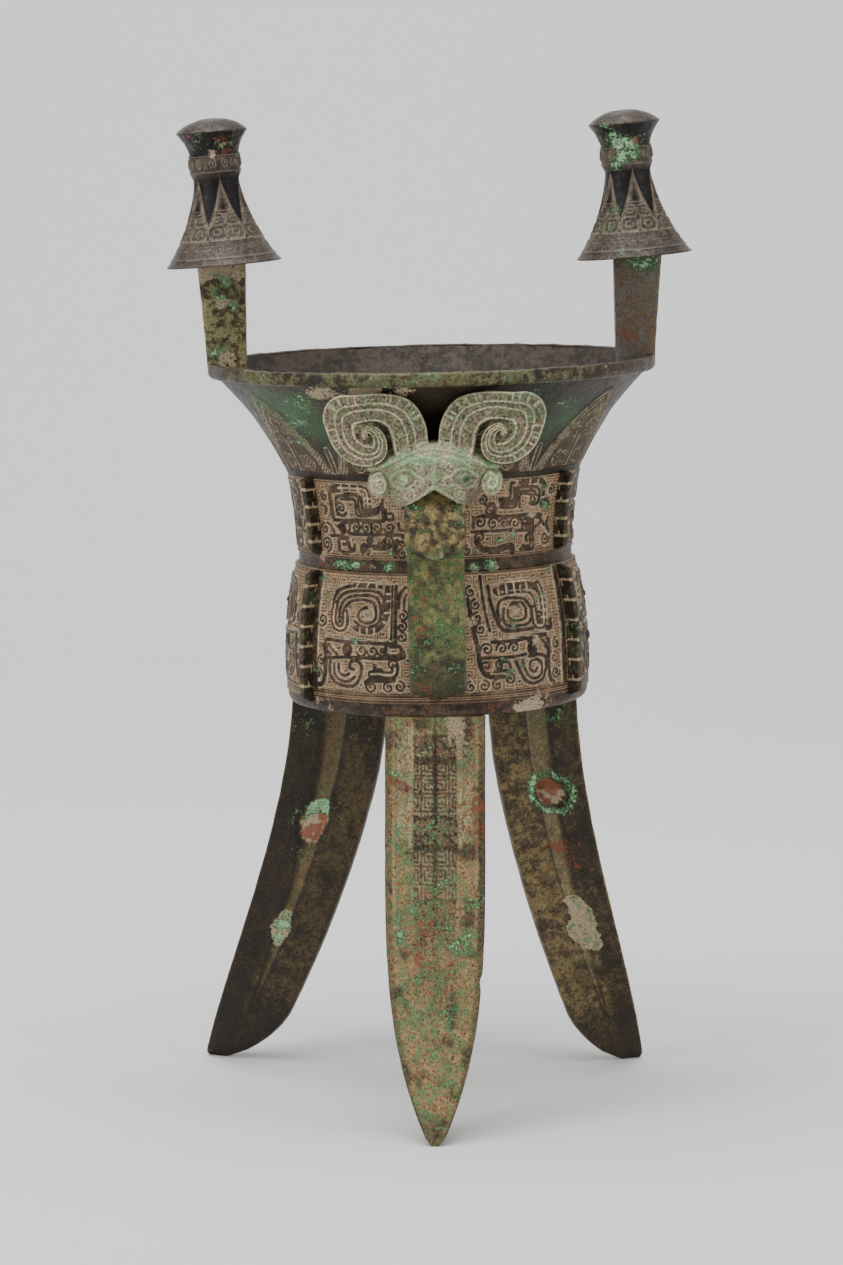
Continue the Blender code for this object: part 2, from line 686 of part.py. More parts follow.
# Its facets are turned a little, so that none of their edges runs along the middle of a blade or a fin
vessel.rotation_euler.z = 0.37 * math.tau / ROUND_STEPS
vessel.hide_render = False
vessel.display_type = "TEXTURED"
vessel.data.materials.append(bronze())
make_legs()
make_core_holes()
make_flanges()
make_masks()
make_blades()
make_posts()
make_caps()
make_handle()
boolean(vessel, "UNION", joined)
boolean(vessel, "DIFFERENCE", cutters)
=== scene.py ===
# %% [markdown]
# A jia: a tall bronze vessel for warming wine, about three thousand years old.
# The solid model already has its walls, legs, posts and handle at their real size. This lesson gives
# it the surface: fine carving, and the brown, black and green skin that bronze grows in the ground.
# Each piece below is a mesh made from a formula, because the carving is finer than a sculptor's brush
# would place by hand, and most of it repeats round the vessel.

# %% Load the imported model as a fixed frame
import itertools
import math

import bpy
import numpy as np
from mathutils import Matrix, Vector


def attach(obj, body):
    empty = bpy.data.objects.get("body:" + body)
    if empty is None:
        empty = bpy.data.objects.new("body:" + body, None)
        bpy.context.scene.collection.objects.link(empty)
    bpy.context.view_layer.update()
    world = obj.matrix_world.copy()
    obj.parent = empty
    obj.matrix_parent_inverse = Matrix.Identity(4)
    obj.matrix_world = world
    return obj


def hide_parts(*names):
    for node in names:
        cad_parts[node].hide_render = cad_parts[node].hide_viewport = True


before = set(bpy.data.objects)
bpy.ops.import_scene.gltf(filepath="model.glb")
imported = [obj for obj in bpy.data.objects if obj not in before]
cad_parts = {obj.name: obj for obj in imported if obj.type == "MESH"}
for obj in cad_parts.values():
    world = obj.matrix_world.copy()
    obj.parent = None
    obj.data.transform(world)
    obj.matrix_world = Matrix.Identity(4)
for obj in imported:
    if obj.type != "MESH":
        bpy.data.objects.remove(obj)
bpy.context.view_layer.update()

# %% [markdown]
# The vessel is stacked from the ground up: legs, a plain edge, a lower and an upper band of masks
# with a smooth waist between them, a flaring neck, and a lip. The heights and radii that drive the
# solid model are written here once, in metres.

# %% Heights and radii
LEG_HEIGHT = 0.2045
EDGE_HEIGHT = 0.0045
PLAIN_BAND_HEIGHT = 0.0075
LOWER_HEIGHT = 0.0595
WAIST_HEIGHT = 0.0080
UPPER_HEIGHT = 0.0380
NECK_HEIGHT = 0.0493
LIP_HEIGHT = 0.0072
POST_HEIGHT = 0.0495

UNDERSIDE_RADIUS = 0.0728
BELLY_RADIUS = 0.0767
SHOULDER_RADIUS = 0.0708
WAIST_RADIUS = 0.0697
NECK_RADIUS = 0.0740
MOUTH_RADIUS = 0.1092
RIM_RADIUS = 0.1140
WALL = 0.0032
FLOOR = 0.0038
LIP_THICKNESS = 0.0042

EDGE_Z = LEG_HEIGHT + EDGE_HEIGHT
LOWER_Z = EDGE_Z + PLAIN_BAND_HEIGHT
BELLY_Z = LOWER_Z + 0.2 * LOWER_HEIGHT
WAIST_Z = LOWER_Z + LOWER_HEIGHT
UPPER_Z = WAIST_Z + WAIST_HEIGHT
NECK_Z = UPPER_Z + UPPER_HEIGHT
LIP_Z = NECK_Z + NECK_HEIGHT
RIM_Z = LIP_Z + LIP_HEIGHT
CAP_Z = RIM_Z + POST_HEIGHT

FLANGES = (-56.0, 60.0, 121.0, 182.0, 243.0)
MM = 0.001
print("rim at", round(RIM_Z / MM, 1), "mm, caps stand on", round(CAP_Z / MM, 1), "mm")

# %% [markdown]
# A cast vessel is never quite straight, and this one leans a little to the left on its legs. Every
# piece is made upright round its own axis and leant last, which keeps the formulas simple.

# %% Lean the body and stand it on the ground
LEAN = math.radians(1.2)
LEAN_HEIGHT = 0.2900
FRONT_LEG_REACH = 0.1285
FOOT_RIDGE = 0.00042
SET_ASIDE = (CAP_Z - LEAN_HEIGHT) * math.sin(LEAN)
SET_BACK = (FRONT_LEG_REACH + FOOT_RIDGE - RIM_RADIUS) / 2


def rotate(x, y, angle):
    """Turn flat places about their origin, by an angle in radians."""
    return x * math.cos(angle) - y * math.sin(angle), x * math.sin(angle) + y * math.cos(angle)


def settle(points, leaning=True):
    """Carry points from the vessel's own axis to their place in the world."""
    x, y, z = np.moveaxis(points, -1, 0)
    if leaning:
        x, z = rotate(x, z - LEAN_HEIGHT, LEAN)
        z = z + LEAN_HEIGHT
    return np.stack([x + SET_ASIDE, y + SET_BACK, z], -1)


print("axis stands at x", round(SET_ASIDE / MM, 1), "y", round(SET_BACK / MM, 1), "mm")

# %% [markdown]
# A few small tools of shape. `smooth` is the S-curve that every soft edge here is made with, and
# `lumps` is repeatable noise: it mixes a place's numbers into a value that looks random but never
# changes between two runs.

# %% Blend, smooth and lumps


def blend(low, high, share):
    """Mix two values."""
    return low + (high - low) * share


def smooth(value, low, high):
    """0 at low, 1 at high, with an S-curve between."""
    share = np.clip((value - low) / (high - low), 0.0, 1.0)
    return share * share * (3.0 - 2.0 * share)


def lumps(points, size, seed=0):
    """Smooth random values from -1 to 1, with lumps of a given size."""
    cell = points / size + 31.7 * (seed + 1)
    base = np.floor(cell).astype(np.int64)
    part = cell - base
    part = part * part * (3.0 - 2.0 * part)
    total = np.zeros(points.shape[:-1])
    for corner in itertools.product((0, 1), repeat=3):
        key = (base + corner) @ np.array([73856093, 19349663, 83492791])
        key = (key ^ (key >> 13)) * 1274126177 & 0x7FFFFFFF
        key = (key ^ (key >> 11)) * 461845907 & 0x7FFFFFFF
        weight = np.prod(np.where(corner, part, 1.0 - part), axis=-1)
        total += weight * (key / 0x3FFFFFFF - 1.0)
    return total


def cast_skin(points, size, seed, fine_size, fine_seed, fine_share=0.6):
    """Lumps of two sizes together, for the slightly uneven skin of a casting."""
    return lumps(points, size, seed) + fine_share * lumps(points, fine_size, fine_seed)


print("halfway up the S-curve:", round(float(smooth(0.5, 0.0, 1.0)), 2))

# %% [markdown]
# The body's wall is a curve turned about an axis. A function that answers with the radius at any
# height serves better than a drawn curve, because the carving, the flanges and the inside all ask it
# where the wall is.

# %% The body's wall
FLARE = 0.6


def wall_radius(z):
    """Radius of the body's outer wall, without its carving."""
    fall = np.clip((z - LEG_HEIGHT) / EDGE_HEIGHT, 0.0, 1.0)
    edge = blend(UNDERSIDE_RADIUS, BELLY_RADIUS, np.sqrt(1.0 - (1.0 - fall) ** 2))
    rise = np.clip((z - BELLY_Z) / (WAIST_Z - BELLY_Z), 0.0, 1.0)
    lower = np.where(z < EDGE_Z, edge, blend(BELLY_RADIUS, SHOULDER_RADIUS, rise**2))
    climb = np.clip((z - UPPER_Z) / UPPER_HEIGHT, 0.0, 1.0)
    upper = blend(WAIST_RADIUS, NECK_RADIUS, climb**2)
    flare = np.clip((z - NECK_Z) / NECK_HEIGHT, 0.0, 1.0)
    neck = blend(NECK_RADIUS, MOUTH_RADIUS, FLARE * flare + (1.0 - FLARE) * flare**2)
    body = blend(lower, upper, smooth(z, WAIST_Z - 0.0004, WAIST_Z + 0.0009))
    return np.where(z < NECK_Z, body, neck)


def round_points(azimuth, z, radius):
    """Points round the axis. The azimuth is in degrees from -Y towards +X."""
    angle = np.radians(azimuth)
    return np.stack(np.broadcast_arrays(radius * np.sin(angle), -radius * np.cos(angle), z), -1)


print("wall radius at the belly, mm:", round(float(wall_radius(BELLY_Z)) / MM, 1))

# %% [markdown]
# Every surface is a grid of points, row by row. Filling Blender's mesh arrays straight from numpy is
# much faster than adding faces one at a time. Each point also carries numbers that the finish reads:
# `ridge` is 1 on raised metal and 0 in a groove, `edge` is the pale earth along the foot of a line,
# and `green`, `earth`, `rust` and `zone` place patches.

# %% Turn grids of points into pieces
ATTRIBUTES = ("ridge", "edge", "green", "earth", "rust", "zone")


def add_object(name, data):
    """Put a thing into the scene."""
    thing = bpy.data.objects.new(name, data)
    bpy.context.scene.collection.objects.link(thing)
    return thing


def add_piece(name, points, quads, material, marks, caps=()):
    """Make one piece of the vessel from its points and faces, and let it ride on the frame."""
    mesh = bpy.data.meshes.new(name)
    sizes = np.array([4] * len(quads) + [len(cap) for cap in caps])
    corners = np.concatenate([np.asarray(quads).ravel(), *[np.asarray(cap) for cap in caps]])
    mesh.vertices.add(len(points))
    mesh.vertices.foreach_set("co", np.ascontiguousarray(points, np.float32).ravel())
    mesh.loops.add(len(corners))
    mesh.loops.foreach_set("vertex_index", corners.astype(np.int32))
    mesh.polygons.add(len(sizes))
    mesh.polygons.foreach_set("loop_start", (np.cumsum(sizes) - sizes).astype(np.int32))
    mesh.update(calc_edges=True)
    mesh.validate()
    for key in ATTRIBUTES:
        values = np.broadcast_to(marks.get(key, 1.0 if key == "ridge" else 0.0), len(points))
        layer = mesh.attributes.new(key, "FLOAT", "POINT")
        layer.data.foreach_set("value", np.ascontiguousarray(values, np.float32))
    mesh.shade_smooth()
    mesh.materials.append(material)
    piece = add_object(name, mesh)
    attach(piece, "root")
    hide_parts("jia_vessel")


def grid_quads(rows, columns, closed):
    """Faces of a grid. A closed grid joins its last column to its first."""
    index = np.arange(rows * columns).reshape(rows, columns)
    left = index if closed else index[:, :-1]
    right = np.roll(index, -1, axis=1) if closed else index[:, 1:]
    return np.stack([left[:-1], right[:-1], right[1:], left[1:]], -1).reshape(-1, 4)


def add_grid(name, points, material, closed=False, flip=False, ends=False, **marks):
    """A piece from one grid. With ends, its first and last rows are closed by a flat face each."""
    rows, columns = points.shape[:2]
    quads = grid_quads(rows, columns, closed)
    caps = [np.arange(columns)[::-1], (rows - 1) * columns + np.arange(columns)] if ends else []
    if flip:
        quads = quads[:, ::-1]
        caps = [cap[::-1] for cap in caps]
    flat = {key: np.broadcast_to(value, (rows, columns)).ravel() for key, value in marks.items()}
    add_piece(name, points.reshape(-1, 3), quads, material, flat, caps)


def spots(across, up, places):
    """Soft round patches. Each place is (across, up, radius, strength), in the units of the grid."""
    total = np.zeros(np.broadcast(across, up).shape)
    for x, y, radius, strength in places:
        near = ((across - x) ** 2 + (up - y) ** 2) / radius**2
        value = strength * np.exp(-near)
        total = np.where(np.abs(value) > np.abs(total), value, total)
    return total


print("pieces carry", len(ATTRIBUTES), "marks for the finish")

# %% [markdown]
# Three thousand years in the ground give bronze brown-black metal, pale earth in the grooves, green
# spots of malachite and red ones of copper oxide. Such a long recipe is easier to read as sums. The
# class below wraps one socket of a material, and `a * b + 0.5` then adds the Math nodes by itself.

# %% A socket that can be added and multiplied


class Wire:
    """One value that flows through a material."""

    def __init__(self, tree, socket):
        self.tree = tree
        self.socket = socket

    def node(self, kind, settings, sockets, output=0):
        """Add a node. Its settings are made first, then each socket gets a value or a link."""
        made = self.tree.nodes.new(kind)
        for name, value in settings.items():
            setattr(made, name, value)
        for name, value in sockets.items():
            if isinstance(value, Wire):
                self.tree.links.new(value.socket, made.inputs[name])
            else:
                made.inputs[name].default_value = value
        return Wire(self.tree, made.outputs[output])

    def maths(self, operation, first, second):
        return self.node("ShaderNodeMath", {"operation": operation}, {0: first, 1: second})

    def __add__(self, other):
        return self.maths("ADD", self, other)

    def __sub__(self, other):
        return self.maths("SUBTRACT", self, other)

    def __mul__(self, other):
        return self.maths("MULTIPLY", self, other)

    __radd__ = __add__
    __rmul__ = __mul__

    def __rsub__(self, other):
        return self.maths("SUBTRACT", other, self)

    def most(self, other):
        return self.maths("MAXIMUM", self, other)

    def step(self, low, high, bottom=0.0, top=1.0):
        """A soft step from bottom at low to top at high."""
        settings = {"interpolation_type": "SMOOTHSTEP", "clamp": True}
        sockets = {"Value": self, "From Min": low, "From Max": high, "To Min": bottom, "To Max": top}
        return self.node("ShaderNodeMapRange", settings, sockets)

    def tint(self, colour, other):
        """Mix from one colour to another, with this value as the share of the other."""
        sockets = {0: self, 6: colour, 7: other}
        return self.node("ShaderNodeMix", {"data_type": "RGBA", "clamp_factor": True}, sockets, 2)

    def shade(self, amount):
        """Multiply a colour by a value."""
        sockets = {0: self, "Scale": amount}
        return self.node("ShaderNodeVectorMath", {"operation": "SCALE"}, sockets)


def colour(red, green, blue):
    """A colour given as it looks on a screen, from 0 to 255, turned into linear light."""
    shares = [value / 255.0 for value in (red, green, blue)]
    linear = [share / 12.92 if share < 0.04045 else ((share + 0.055) / 1.055) ** 2.4 for share in shares]
    return (*linear, 1.0)


print("mid grey in linear light:", round(colour(128, 128, 128)[0], 3))

# %% [markdown]
# The patina itself. Each part of the vessel has its own mixture, so this is one function with a few
# colours and amounts. From the bottom up it lays the metal's own tone, cloudy drifts of another
# tone, zones of a set colour (stains and other tones, and painted shade on a few pieces), earth in
# the grooves, pale lines, tan crusts, green spots, red specks and tiny dark pits. Bare metal shines
# a little, and crusts are dull.

# %% The patina recipe
DARK = colour(30, 26, 21)
EARTH = colour(150, 130, 104)
CREAM = colour(206, 196, 166)
PALE = colour(206, 190, 158)
MINT = colour(128, 174, 132)
DEEP_GREEN = colour(64, 96, 62)
CUPRITE = colour(124, 60, 40)


def patina(name, metal, drift, ground, green=0.3, crust=0.3, rust=0.3, gloss=0.42, grain=1.0,
           mottle=1.0, fleck=0.0, zone=(26, 26, 32)):
    """A bronze skin: two metal tones, the colour in the grooves, and how much grows on it."""
    metal, drift, ground, zone = (colour(*tone) for tone in (metal, drift, ground, zone))
    material = bpy.data.materials.new(name)
    material.use_nodes = True
    tree = material.node_tree
    shader = tree.nodes["Principled BSDF"]
    shader.inputs["Specular IOR Level"].default_value = 0.28
    place = Wire(tree, tree.nodes.new("ShaderNodeTexCoord").outputs["Object"])

    def mark(key):
        return place.node("ShaderNodeAttribute", {"attribute_name": key}, {}, 2)

    def noise(lumps_per_metre, detail=3.0, rough=0.55, seed=0.0):
        settings = {"noise_dimensions": "4D"}
        sockets = {"Vector": place, "W": seed, "Scale": lumps_per_metre, "Detail": detail, "Roughness": rough}
        return place.node("ShaderNodeTexNoise", settings, sockets)

    cloud = noise(32.0, 4.0, 0.6, 1.3)
    patch = noise(90.0, 4.0, 0.62, 4.1)
    blot = noise(260.0, 4.0, 0.65, 7.7)
    speck = noise(760.0, 3.0, 0.65, 2.9)
    dust = noise(1900.0, 2.0, 0.7, 5.2)
    ridge = mark("ridge")

    broad = cloud * 0.4 + patch * 0.3 + blot * 0.3
    fine = patch * 0.2 + blot * 0.45 + speck * 0.35
    drifting = (broad * (1.0 - fleck) + fine * fleck).step(0.455, 0.545)
    skin = drifting.tint(metal, drift)
    # The zone mark: stains and other tones on most pieces, painted shade on the strap, the head and the side
    # legs' grooves.
    skin = (mark("zone") * blot.step(0.25, 0.5, 0.6, 1.0)).tint(skin, zone)
    skin = (ridge + (speck - 0.5) * 0.45).step(0.12, 0.82).tint(ground, skin)
    skin = (mark("edge") * blot.step(0.32, 0.58, 0.35, 0.95)).tint(skin, PALE)
    swing = 0.42 * mottle
    light = (speck * 0.45 + dust * 0.3 + blot * 0.25).step(0.36, 0.64, 1.0 - swing, 1.0 + swing)
    skin = skin.shade(light)

    earthy = patch * 0.3 + blot * 0.4 + speck * 0.3 + mark("earth") * 0.17
    crusted = earthy.step(0.655 - 0.13 * crust, 0.685 - 0.13 * crust)
    skin = (crusted * speck.step(0.35, 0.55, 0.55, 0.95)).tint(skin, dust.step(0.4, 0.75).tint(EARTH, CREAM))

    growing = patch * 0.22 + blot * 0.34 + speck * 0.44 + mark("green") * 0.15
    mossy = growing.step(0.640 - 0.12 * green, 0.675 - 0.12 * green)
    minty = growing.step(0.685 - 0.10 * green, 0.750 - 0.10 * green)
    verdigris = minty.tint(DEEP_GREEN, dust.step(0.5, 0.95).tint(MINT, CREAM)).shade(light)
    skin = (mossy * speck.step(0.3, 0.5, 0.5, 0.92)).tint(skin, verdigris)

    redness = noise(330.0, 3.0, 0.6, 9.4) * 0.6 + speck * 0.4 + mark("rust") * 0.17
    skin = (redness.step(0.680 - 0.10 * rust, 0.710 - 0.10 * rust) * 0.75).tint(skin, CUPRITE)

    pits = noise(1100.0, 2.0, 0.6, 6.6).step(0.30, 0.40)
    skin = pits.tint(DARK, skin)
    tree.links.new(skin.socket, shader.inputs["Base Color"])

    dull = crusted.most(mossy).most(1 - ridge.step(0.1, 0.7))
    finish = dull * 0.30 + blot.step(0.3, 0.7, gloss - 0.06, gloss + 0.14) + (dust - 0.5) * 0.25
    tree.links.new(finish.socket, shader.inputs["Roughness"])
    bare = (1 - dull) * blot.step(0.35, 0.65, 0.15, 0.40)
    tree.links.new(bare.socket, shader.inputs["Metallic"])

    height = patch * 0.4 + blot * 0.7 + speck * 0.35 + dust * 0.10 + pits * 0.25 + minty * 0.10
    bump = place.node("ShaderNodeBump", {}, {"Strength": 0.6 * grain, "Distance": 0.0011, "Height": height})
    tree.links.new(bump.socket, shader.inputs["Normal"])
    return material


body_patina = patina("body_patina", (38, 30, 23), (82, 63, 47), (163, 136, 105), fleck=0.5)
print("first finish:", body_patina.name, "with", len(body_patina.node_tree.nodes), "nodes")

# %% [markdown]
# A vessel like this is photographed from a little way off, so that its sides look nearly parallel.
# The camera stands two metres away, as high as the caps, looks slightly down, and has a long lens.

# %% Camera
CAMERA_PLACE = (-0.0039, -2.0925, 0.5140)
CAMERA_PITCH = 0.1310
CAMERA_LENS = 117.5
SENSOR_WIDTH = 36.0

camera_data = bpy.data.cameras.new("camera")
camera_data.lens = CAMERA_LENS
camera_data.sensor_width = SENSOR_WIDTH
camera_data.clip_end = 50.0
camera = add_object("camera", camera_data)
camera.location = CAMERA_PLACE
camera.rotation_euler = (math.pi / 2 - CAMERA_PITCH, 0.0, 0.0)
bpy.context.scene.camera = camera
print("camera is", round(-camera.location.y, 2), "m from the vessel")

# %% [markdown]
# The background is a sheet of pale grey paper that curves up behind the vessel, so there is no
# horizon line. Four broad soft lights leave almost no shadow, and a dim world fills what is left.

# %% Paper and lights
PAPER_GREY = 227
PAPER_FRONT = -4.0
PAPER_HALF_WIDTH = 5.0
PAPER_TOP = 5.0
BEND_START = 1.2
BEND_RADIUS = 1.4


def add_paper():
    """A pale sheet that lies on the floor and curves up behind the vessel."""
    mesh = bpy.data.meshes.new("paper")
    profile = [(PAPER_FRONT, 0.0), (BEND_START, 0.0)]
    for degrees in range(10, 91, 8):
        turn = math.radians(degrees)
        back, up = math.sin(turn), 1.0 - math.cos(turn)
        profile.append((BEND_START + BEND_RADIUS * back, BEND_RADIUS * up))
    profile.append((BEND_START + BEND_RADIUS, PAPER_TOP))
    corners = [(x, y, z) for y, z in profile for x in (-PAPER_HALF_WIDTH, PAPER_HALF_WIDTH)]
    faces = [(2 * i, 2 * i + 1, 2 * i + 3, 2 * i + 2) for i in range(len(profile) - 1)]
    mesh.from_pydata(corners, [], faces)
    mesh.shade_smooth()
    paper = add_object("paper", mesh)
    material = bpy.data.materials.new("pale_paper")
    material.use_nodes = True
    shader = material.node_tree.nodes["Principled BSDF"]
    shader.inputs["Base Color"].default_value = colour(PAPER_GREY, PAPER_GREY, PAPER_GREY)
    shader.inputs["Roughness"].default_value = 0.9
    mesh.materials.append(material)


def add_light(name, place, aim, width, height, power):
    """A soft rectangular light that points at a place."""
    data = bpy.data.lights.new(name, "AREA")
    data.shape = "RECTANGLE"
    data.size = width
    data.size_y = height
    data.energy = power
    light = add_object(name, data)
    light.location = place
    light.rotation_euler = (Vector(aim) - Vector(place)).to_track_quat("-Z", "Y").to_euler()


add_paper()
middle = (0.0, 0.0, 0.28)
add_light("overhead", (-0.3, -0.5, 2.4), middle, 2.2, 1.8, 60.0)
add_light("left_softbox", (-2.2, -1.6, 1.2), middle, 1.2, 1.8, 34.0)
add_light("right_softbox", (2.2, -1.2, 0.9), middle, 1.0, 1.8, 22.0)
add_light("backdrop_light", (0.0, 0.6, 2.9), (0.0, 2.4, 0.8), 3.0, 1.0, 40.0)
world = bpy.data.worlds.new("studio")
world.use_nodes = True
world.node_tree.nodes["Background"].inputs["Color"].default_value = (1.0, 0.98, 0.96, 1.0)
world.node_tree.nodes["Background"].inputs["Strength"].default_value = 0.35
bpy.context.scene.world = world

# %% [markdown]
# The carving. Bronze casters cut the pattern into clay moulds: thin spiral lines called thunder
# pattern fill the ground, and broad strokes draw a mask with horns, an eye and a jaw on it. Both are
# paths here, and these functions make them.

# %% Curves and spirals


def curve(points, spacing=0.45):
    """A smooth path through points, with a new point at every spacing."""
    points = np.asarray(points, float)
    padded = np.vstack([2 * points[0] - points[1], points, 2 * points[-1] - points[-2]])
    path = []
    for before, start, end, after in zip(padded, padded[1:], padded[2:], padded[3:]):
        count = max(2, int(np.hypot(*(end - start)[:2]) / spacing))
        t = np.linspace(0.0, 1.0, count, endpoint=False)[:, None]
        bend = 2 * start + (end - before) * t
        bend = bend + (2 * before - 5 * start + 4 * end - after) * t**2
        path.append(0.5 * (bend + (3 * start - before - 3 * end + after) * t**3))
    path.append(points[-1:])
    return np.vstack(path)


def normals(path):
    """Unit vectors to the left of a flat path, one at each of its points."""
    along = np.gradient(path, axis=0)
    along /= np.linalg.norm(along, axis=1, keepdims=True)
    return np.stack([-along[:, 1], along[:, 0]], -1)


def spiral(x, y, radius, turns, start, turn=1):
    """Points of a spiral that winds in from its outer end, which lies at the start angle."""
    share = np.linspace(0.0, 1.0, max(6, int(turns * 14)))
    angle = np.radians(start) + turn * share * turns * math.tau
    reach = radius * (1.0 - 0.86 * share)
    return np.stack([x + reach * np.cos(angle), y + reach * np.sin(angle)], -1)


def thunder_tile(size):
    """One square spiral, walked from its corner inwards, with a free row and column at its end."""
    tile = np.zeros((size, size))
    row, column, step_row, step_column = 0, 0, 0, 1
    tile[0, 0] = 1.0
    for run in [size - 2] * 3 + [run for run in range(size - 4, 0, -2) for _ in (0, 1)]:
        for _ in range(run):
            row += step_row
            column += step_column
            tile[row, column] = 1.0
        step_row, step_column = step_column, -step_row
    return tile


def thunder(rows, columns, size=9, share=1.0):
    """A ground of square spirals. Each one mirrors its neighbours. Points are a share of a line apart."""
    tile = thunder_tile(size)
    row, column = np.indices((int(rows * share) + 2, int(columns * share) + 2))
    flip_row = (row // size) % 2 == 1
    flip_column = (column // size) % 2 == 1
    inner_row = np.where(flip_row, size - 2 - row % size, row % size) % size
    inner_column = np.where(flip_column, size - 2 - column % size, column % size) % size
    sheet = tile[inner_row, inner_column]
    across, up = np.arange(columns) * share, np.arange(rows) * share
    left, low = across.astype(int), up.astype(int)
    lower = blend(sheet[low][:, left], sheet[low][:, left + 1], across - left)
    upper = blend(sheet[low + 1][:, left], sheet[low + 1][:, left + 1], across - left)
    return blend(lower, upper, (up - low)[:, None])


for row in thunder_tile(9):
    print("".join("#" if mark else "." for mark in row))

# %% [markdown]
# The strokes could be sculpted or come from a displacement map. A sheet of heights worked out from
# the distance to a path is exact at any size, and a stroke's width, groove and margin are numbers. A
# narrow low margin along each stroke lets it read from a step away.

# %% A panel that strokes are raised on


class Panel:
    """A sheet of carving over a grid. Across and up are in millimetres."""

    def __init__(self, across, up):
        self.across = np.asarray(across, float)
        self.up = np.asarray(up, float)
        shape = (len(self.up), len(self.across))
        self.raised = np.zeros(shape)
        self.cut = np.zeros(shape)
        self.clear = np.full(shape, 9.0)
        self.ground = np.zeros(shape)

    def window(self, path, margin):
        """Rows and columns that a path can reach."""
        low = path.min(0) - margin
        high = path.max(0) + margin
        columns = slice(*np.searchsorted(self.across, (low[0], high[0])))
        rows = slice(*np.searchsorted(self.up, (low[1], high[1])))
        return rows, columns

    def distance(self, path, rows, columns):
        """Distance from each grid point of a window to a path."""
        x = self.across[columns][None, :]
        y = self.up[rows][:, None]
        near = np.full((y.shape[0], x.shape[1]), 1e9)
        for (ax, ay), (bx, by) in zip(path, path[1:]):
            length = max((bx - ax) ** 2 + (by - ay) ** 2, 1e-9)
            share = np.clip(((x - ax) * (bx - ax) + (y - ay) * (by - ay)) / length, 0.0, 1.0)
            gap = (x - ax - share * (bx - ax)) ** 2 + (y - ay - share * (by - ay)) ** 2
            near = np.minimum(near, gap)
        return np.sqrt(near)

    def stroke(self, points, width, height=1.3, grooved=False, margin=0.5):
        """Raise a stroke along a path, with a groove down its middle if it has one."""
        path = curve(points)
        rows, columns = self.window(path, width / 2 + 2.0)
        gap = self.distance(path, rows, columns)
        top = height * smooth(width / 2 - gap, -0.25, 0.25)
        self.raised[rows, columns] = np.maximum(self.raised[rows, columns], top)
        self.clear[rows, columns] = np.minimum(self.clear[rows, columns], gap - width / 2 - margin)
        if grooved:
            cut = smooth(0.34 - gap, -0.3, 0.12)
            self.cut[rows, columns] = np.maximum(self.cut[rows, columns], cut)

    def line(self, points, width=0.8, height=0.8):
        """A thin raised line."""
        self.stroke(points, width, height, margin=0.3)

    def scratch(self, points, width=0.6):
        """A thin groove in whatever is raised there."""
        path = curve(points)
        rows, columns = self.window(path, width + 1.0)
        cut = smooth(width / 2 - self.distance(path, rows, columns), -0.3, 0.2)
        self.cut[rows, columns] = np.maximum(self.cut[rows, columns], cut)

    def boss(self, x, y, radius, height):
        """A round knob."""
        gap = np.hypot(self.across[None, :] - x, self.up[:, None] - y)
        top = height * np.clip(1.0 - (gap / radius) ** 3.0, 0.0, 1.0)
        self.raised = np.maximum(self.raised, top)
        self.clear = np.minimum(self.clear, gap - radius - 0.7)

    def heights(self, relief=0.45):
        """Height in millimetres and the share that is raised, 0 in grooves and 1 on top."""
        lines = self.ground * smooth(self.clear, -0.1, 0.3)
        height = np.maximum(self.raised, relief * lines) - 0.55 * self.cut * (self.raised > 0.25)
        ridge = np.maximum(np.clip(self.raised / 0.8, 0.0, 1.0), 0.80 * lines) * (1.0 - 0.85 * self.cut)
        return height, ridge

    def outline(self):
        """Pale earth along the foot of every stroke and in its cuts."""
        foot = smooth(0.22 - np.abs(self.clear + 0.27), -0.16, 0.10)
        return 0.85 * np.maximum(foot, self.cut * (self.raised > 0.25))


print("a spiral of radius 3 has", len(spiral(0, 0, 3, 2, 0)), "points")
